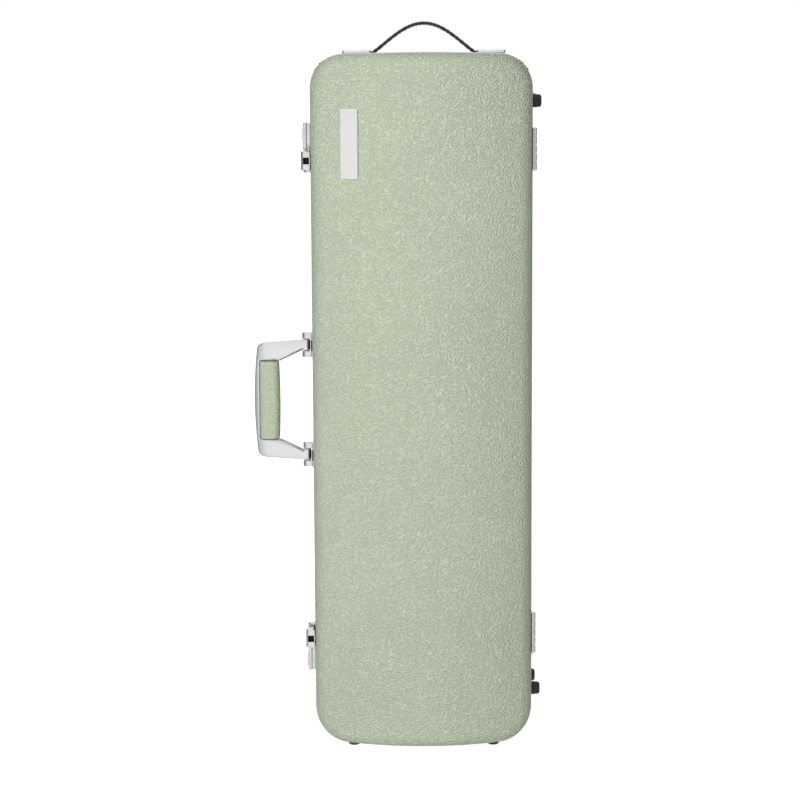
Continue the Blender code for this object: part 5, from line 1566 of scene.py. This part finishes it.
tray_span = spans("side_tray")
shelf_x = (-tray_span[0][1], -tray_span[0][0])
cords = []
for path in (eased(instrument_outline()), eased(corners_of(shelf_x, tray_span[2]), 3)):
    cords.append(piping(path, cushion_top + PIPING_RADIUS, PIPING_RADIUS, PIPING_RADIUS))
new_piece("hollow_piping", together(*cords), dark_binding, "base")


# Two cloth-covered trays let into the foam, bound round their rims. A padded flap closes the one by the neck.
# The flap opens by a leather tab that is sewn to its free edge.
TRAY_INSET = 0.0006
TRAY_WALL = 0.0018
TRAY_CORNER = 0.006
TRAY_FLOOR_ROUNDING = 0.0035
TRAY_ROUNDING = 0.0006
TRAY_BINDING = 0.0011
FLAP_PITCH = 0.0011
FLAP_ROUNDS = 3
FLAP_DRAWN_IN = 0.0001
FLAP_SEAM_IN = 0.0045
FLAP_SEAM_SUNK = 0.0002
TAB_CORNER = 0.003
TAB_ROUNDING = 0.0004
TAB_SEAM_IN = 0.0020
TAB_STITCH = 0.0022
TAB_THREAD = 0.0004
SEAM_GAP = 0.0045
SEAM_STITCH = 0.0030
SEAM_THREAD = 0.0005


def cloth_tray(node):
    x_span, y_span, z_span = [(low + TRAY_INSET, high - TRAY_INSET) for low, high in spans(node)]
    shape = block(x_span, y_span, z_span)
    upright = [e for e in shape.edges if e.verts[0].co.y != e.verts[1].co.y]
    round_edges(shape, upright, TRAY_CORNER, 8)
    floor = [e for e in shape.edges if all(y_span[1] - v.co.y < SAME_PLACE for v in e.verts)]
    round_edges(shape, floor, TRAY_FLOOR_ROUNDING, 4)
    open_face = [f for f in shape.faces if f.normal.y < -FACING_SHARE]
    bmesh.ops.delete(shape, geom=open_face, context="FACES")
    tray = rounded(walled(shape, TRAY_WALL), TRAY_ROUNDING, 2)
    new_piece(f"{node}_cloth", tray, grey_lining, "base", [node])
    bound = TRAY_BINDING + TRAY_INSET / 2
    rim = corners_of((x_span[0] + bound, x_span[1] - bound), (z_span[0] + bound, z_span[1] - bound))
    return piping(eased(rim, 3), y_span[0] + TRAY_BINDING, TRAY_BINDING, 0.0)


def seam(start, end):
    """A straight row of stitches from one place to another, on a face that looks to the front."""
    run = Vector(end) - Vector(start)
    count = max(1, int(run.length / SEAM_GAP))
    forward = Vector((0.0, -1.0, 0.0))
    return [(Vector(start) + run * (k + 0.5) / count, run.normalized(), forward) for k in range(count)]


def seam_loop(x_span, z_span, y, inset):
    """Stitches inside the edges of a flat face that looks to the front."""
    (left, right), (low, high) = x_span, z_span
    left, right, low, high = left + inset, right - inset, low + inset, high - inset
    spots = []
    for x in (left, right):
        spots += seam((x, y, low), (x, y, high))
    for z in (low, high):
        spots += seam((left, y, z), (right, y, z))
    return spots


bindings = [cloth_tray("side_tray"), cloth_tray("end_tray")]
new_piece("tray_bindings", together(*bindings), dark_binding, "base")

flap_span = spans("tray_flap")
flap = softened(copied("tray_flap"), FLAP_PITCH, FLAP_ROUNDS, FLAP_DRAWN_IN)
flap = new_piece("tray_flap_padded", flap, grey_plush, "flap", ["tray_flap"])
tab_span = spans("flap_tab")
tab = plated(*tab_span, 1, TAB_CORNER, TAB_ROUNDING)
new_piece("flap_tab_leather", tab, strap_leather, "flap", ["flap_tab"])
flap_seam = seam_loop(flap_span[0], flap_span[2], flap_span[1][0] + FLAP_SEAM_SUNK, FLAP_SEAM_IN)
tab_seam = seam_loop(tab_span[0], tab_span[2], tab_span[1][0], TAB_SEAM_IN)
threads = stitches(flap_seam, SEAM_STITCH, SEAM_THREAD)
tab_threads = stitches(tab_seam, TAB_STITCH, TAB_THREAD)
new_piece("flap_thread", together(threads, tab_threads), dark_thread, "flap")


# The neck rests on a notched plush pad and is held by a soft leather strap that snaps down at both ends.
# The strap bows over the hollow, and a row of stitches runs along each of its edges.
CRADLE_PITCH = 0.0014
CRADLE_ROUNDS = 4
CRADLE_DRAWN_IN = 0.0003
NECK_STRAP_THICKNESS = 0.002
NECK_STRAP_CORNER = 0.0008
NECK_STRAP_BUMP = 0.004
NECK_STRAP_STEPS = 48
SNAP_FROM_END = 0.0065
SNAP_RADIUS = 0.0045
SNAP_HEIGHT = 0.0012
SNAP_SUNK = 0.0002
SNAP_PROFILE_SHARES = ((0.0, 0.0), (1.0, 0.0), (1.0, 0.4), (0.8, 0.85), (0.45, 1.0), (0.0, 1.0))

cradle = softened(copied("neck_cradle"), CRADLE_PITCH, CRADLE_ROUNDS, CRADLE_DRAWN_IN)
cradle = new_piece("neck_cradle_pad", cradle, grey_plush, "base", ["neck_cradle"])


def lay(shape, turn, y, z):
    """Turns a band about x from where it is drawn, and puts it at y and z."""
    bmesh.ops.rotate(shape, cent=(0.0, 0.0, 0.0), matrix=Matrix.Rotation(turn, 3, "X"), verts=shape.verts)
    bmesh.ops.translate(shape, vec=(0.0, y, z), verts=shape.verts)
    return shape


strap_x, strap_y, strap_z = spans("neck_strap")
neck_path = []
for k in range(NECK_STRAP_STEPS + 1):
    x = strap_x[0] + (strap_x[1] - strap_x[0]) * k / NECK_STRAP_STEPS
    over = math.cos(math.pi / 2 * x / NECK_HALF_WIDTH) if abs(x) < NECK_HALF_WIDTH else 0.0
    neck_path.append((x, NECK_STRAP_BUMP * over))
neck_width = strap_z[1] - strap_z[0]
neck_seat = strap_y[1] - NECK_STRAP_THICKNESS / 2
neck_middle = sum(strap_z) / 2
neck_band = band(neck_path, 0.0, neck_width, NECK_STRAP_THICKNESS, NECK_STRAP_CORNER)
neck_sewing = band_stitches(neck_path, 0.0, neck_width, NECK_STRAP_THICKNESS)
quarter_turn = math.pi / 2
neck_band = lay(neck_band, quarter_turn, neck_seat, neck_middle)
neck_sewing = lay(neck_sewing, quarter_turn, neck_seat, neck_middle)
new_piece("neck_strap_band", neck_band, strap_leather, "base", ["neck_strap"])
new_piece("neck_strap_thread", neck_sewing, dark_thread, "base")
snap_profile = [(across * SNAP_RADIUS, -rise * SNAP_HEIGHT) for across, rise in SNAP_PROFILE_SHARES]
snap_face = strap_y[1] - NECK_STRAP_THICKNESS + SNAP_SUNK
snaps = []
for x in about(0.0, strap_x[1] - SNAP_FROM_END):
    snaps.append(turned(snap_profile, (x, snap_face, neck_middle), 1, SMALL_ROUND_STEPS))
new_piece("neck_strap_snaps", together(*snaps), bright_steel, "base")


# The lid is lined with woven cloth that follows its arch, with a bound edge.
# Two bows lie in notched plush rests under turning clips, and their tips slip into sewn leather loops.
LINING_THICKNESS = 0.002
LINING_BINDING = 0.0013
REST_PITCH = 0.0009
REST_ROUNDS = 4
REST_DRAWN_IN = 0.0002
CLIP_RADIUS = 0.0068
CLIP_HALF_WIDTH = 0.0045
CLIP_STEM_RADIUS = 0.002
CLIP_ROUNDING = 0.0007
CLIP_RECESS = 0.0011
CLIP_RECESS_RADIUS = 0.0032
CLIP_CORNER = 0.003
CLIP_STEM_STEPS = 20
CLIP_SCREW_RADIUS = 0.0026
LOOP_THICKNESS = 0.002
LOOP_CORNER = 0.0008
LOOP_STEPS = 28
LOOP_LEAST_STEP = 0.0001

lining_x, lining_y, _ = spans("lid_lining")
lining_inset = shell_half_width - lining_x[1]
lining_skin = moulded_shell(-1, LID_CROWN, LID_SIDE, LID_FILLET, 0.0, lining_inset)
lining = walled(lining_skin, LINING_THICKNESS)
new_piece("lid_lining_cloth", lining, grey_lining, "lid", ["lid_lining"])
edge_radius = CORNER_RADIUS - lining_inset - LINING_THICKNESS + LINING_BINDING / 2
edge_path = []
for quarter, (x_way, z_way) in enumerate(((1, -1), (1, 1), (-1, 1), (-1, -1))):
    centre = (x_way * (shell_half_width - CORNER_RADIUS), z_way * (shell_half_length - CORNER_RADIUS))
    start = math.pi / 2 * (quarter - 1)
    edge_path += arc(centre, edge_radius, start, start + math.pi / 2, 6)
binding = piping(eased(edge_path), lining_y[1] - LINING_BINDING - GAP, LINING_BINDING, 0.0)
new_piece("lid_lining_binding", binding, dark_binding, "lid")


def lining_depth(x):
    """How far the lining's inner face lies in front of where lid and base meet, at x."""
    return arch(x, LID_CROWN, LID_SIDE, lining_inset + LINING_THICKNESS + GAP)


for side, word in ((-1, "left"), (1, "right")):
    node = f"bow_rest_{word}"
    rest = softened(copied(node), REST_PITCH, REST_ROUNDS, REST_DRAWN_IN)
    rest = new_piece(f"{node}_pad", rest, grey_plush, "lid", [node])

    clip_low = spans(node)[1][1] + GAP
    node = f"bow_clip_{word}"
    clip_x, (stem_low, clip_high), clip_z = spans(node)
    near, tip = clip_x if side > 0 else reversed(clip_x)
    pivot_x = near + side * CLIP_RADIUS
    pivot_z = sum(clip_z) / 2
    arm_x = sorted((pivot_x + side * CLIP_RECESS_RADIUS, tip))
    arm_z = about(pivot_z, CLIP_HALF_WIDTH)
    arm = plated(arm_x, (clip_low, clip_high), arm_z, 1, CLIP_CORNER, CLIP_ROUNDING)
    centre = (pivot_x, 0.0, pivot_z)
    disc = turned(soft_rod(CLIP_RADIUS, clip_low, clip_high, CLIP_ROUNDING), centre, 1)
    stem = turned(plain_rod(CLIP_STEM_RADIUS, stem_low, clip_low + CLIP_ROUNDING), centre, 1, CLIP_STEM_STEPS)
    recess_profile = plain_rod(CLIP_RECESS_RADIUS, *about(clip_high, CLIP_RECESS))
    recess = turned(recess_profile, centre, 1, SMALL_ROUND_STEPS)
    clip = together(arm, carved(disc, recess), stem)
    new_piece(f"{node}_lever", clip, dark_plastic, f"{word}_clip", [node])
    head = screw((pivot_x, clip_high - CLIP_RECESS, pivot_z), 1, 1, CLIP_SCREW_RADIUS)
    new_piece(f"{node}_screw", head, bright_steel, f"{word}_clip")

    node = f"bow_loop_{word}"
    loop_x, loop_y, loop_z = spans(node)
    loop_middle = sum(loop_x) / 2
    radius = (loop_x[1] - loop_x[0] - LOOP_THICKNESS) / 2
    foot = loop_y[1] - LOOP_THICKNESS / 2 - radius
    path = [(loop_middle - radius, -lining_depth(loop_middle - radius))]
    path += arc((loop_middle, foot), radius, math.pi, 0.0, LOOP_STEPS)
    path.append((loop_middle + radius, -lining_depth(loop_middle + radius)))
    path = [spot for k, spot in enumerate(path) if k == 0 or math.dist(spot, path[k - 1]) > LOOP_LEAST_STEP]
    loop_width = loop_z[1] - loop_z[0]
    loop_band = band(path, 0.0, loop_width, LOOP_THICKNESS, LOOP_CORNER)
    loop_sewing = band_stitches(path, 0.0, loop_width, LOOP_THICKNESS, (1,))
    loop_band = lay(loop_band, -quarter_turn, 0.0, sum(loop_z) / 2)
    loop_sewing = lay(loop_sewing, -quarter_turn, 0.0, sum(loop_z) / 2)
    new_piece(f"{node}_band", loop_band, strap_leather, "lid", [node])
    new_piece(f"{node}_thread", loop_sewing, dark_thread, "lid")

low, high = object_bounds()
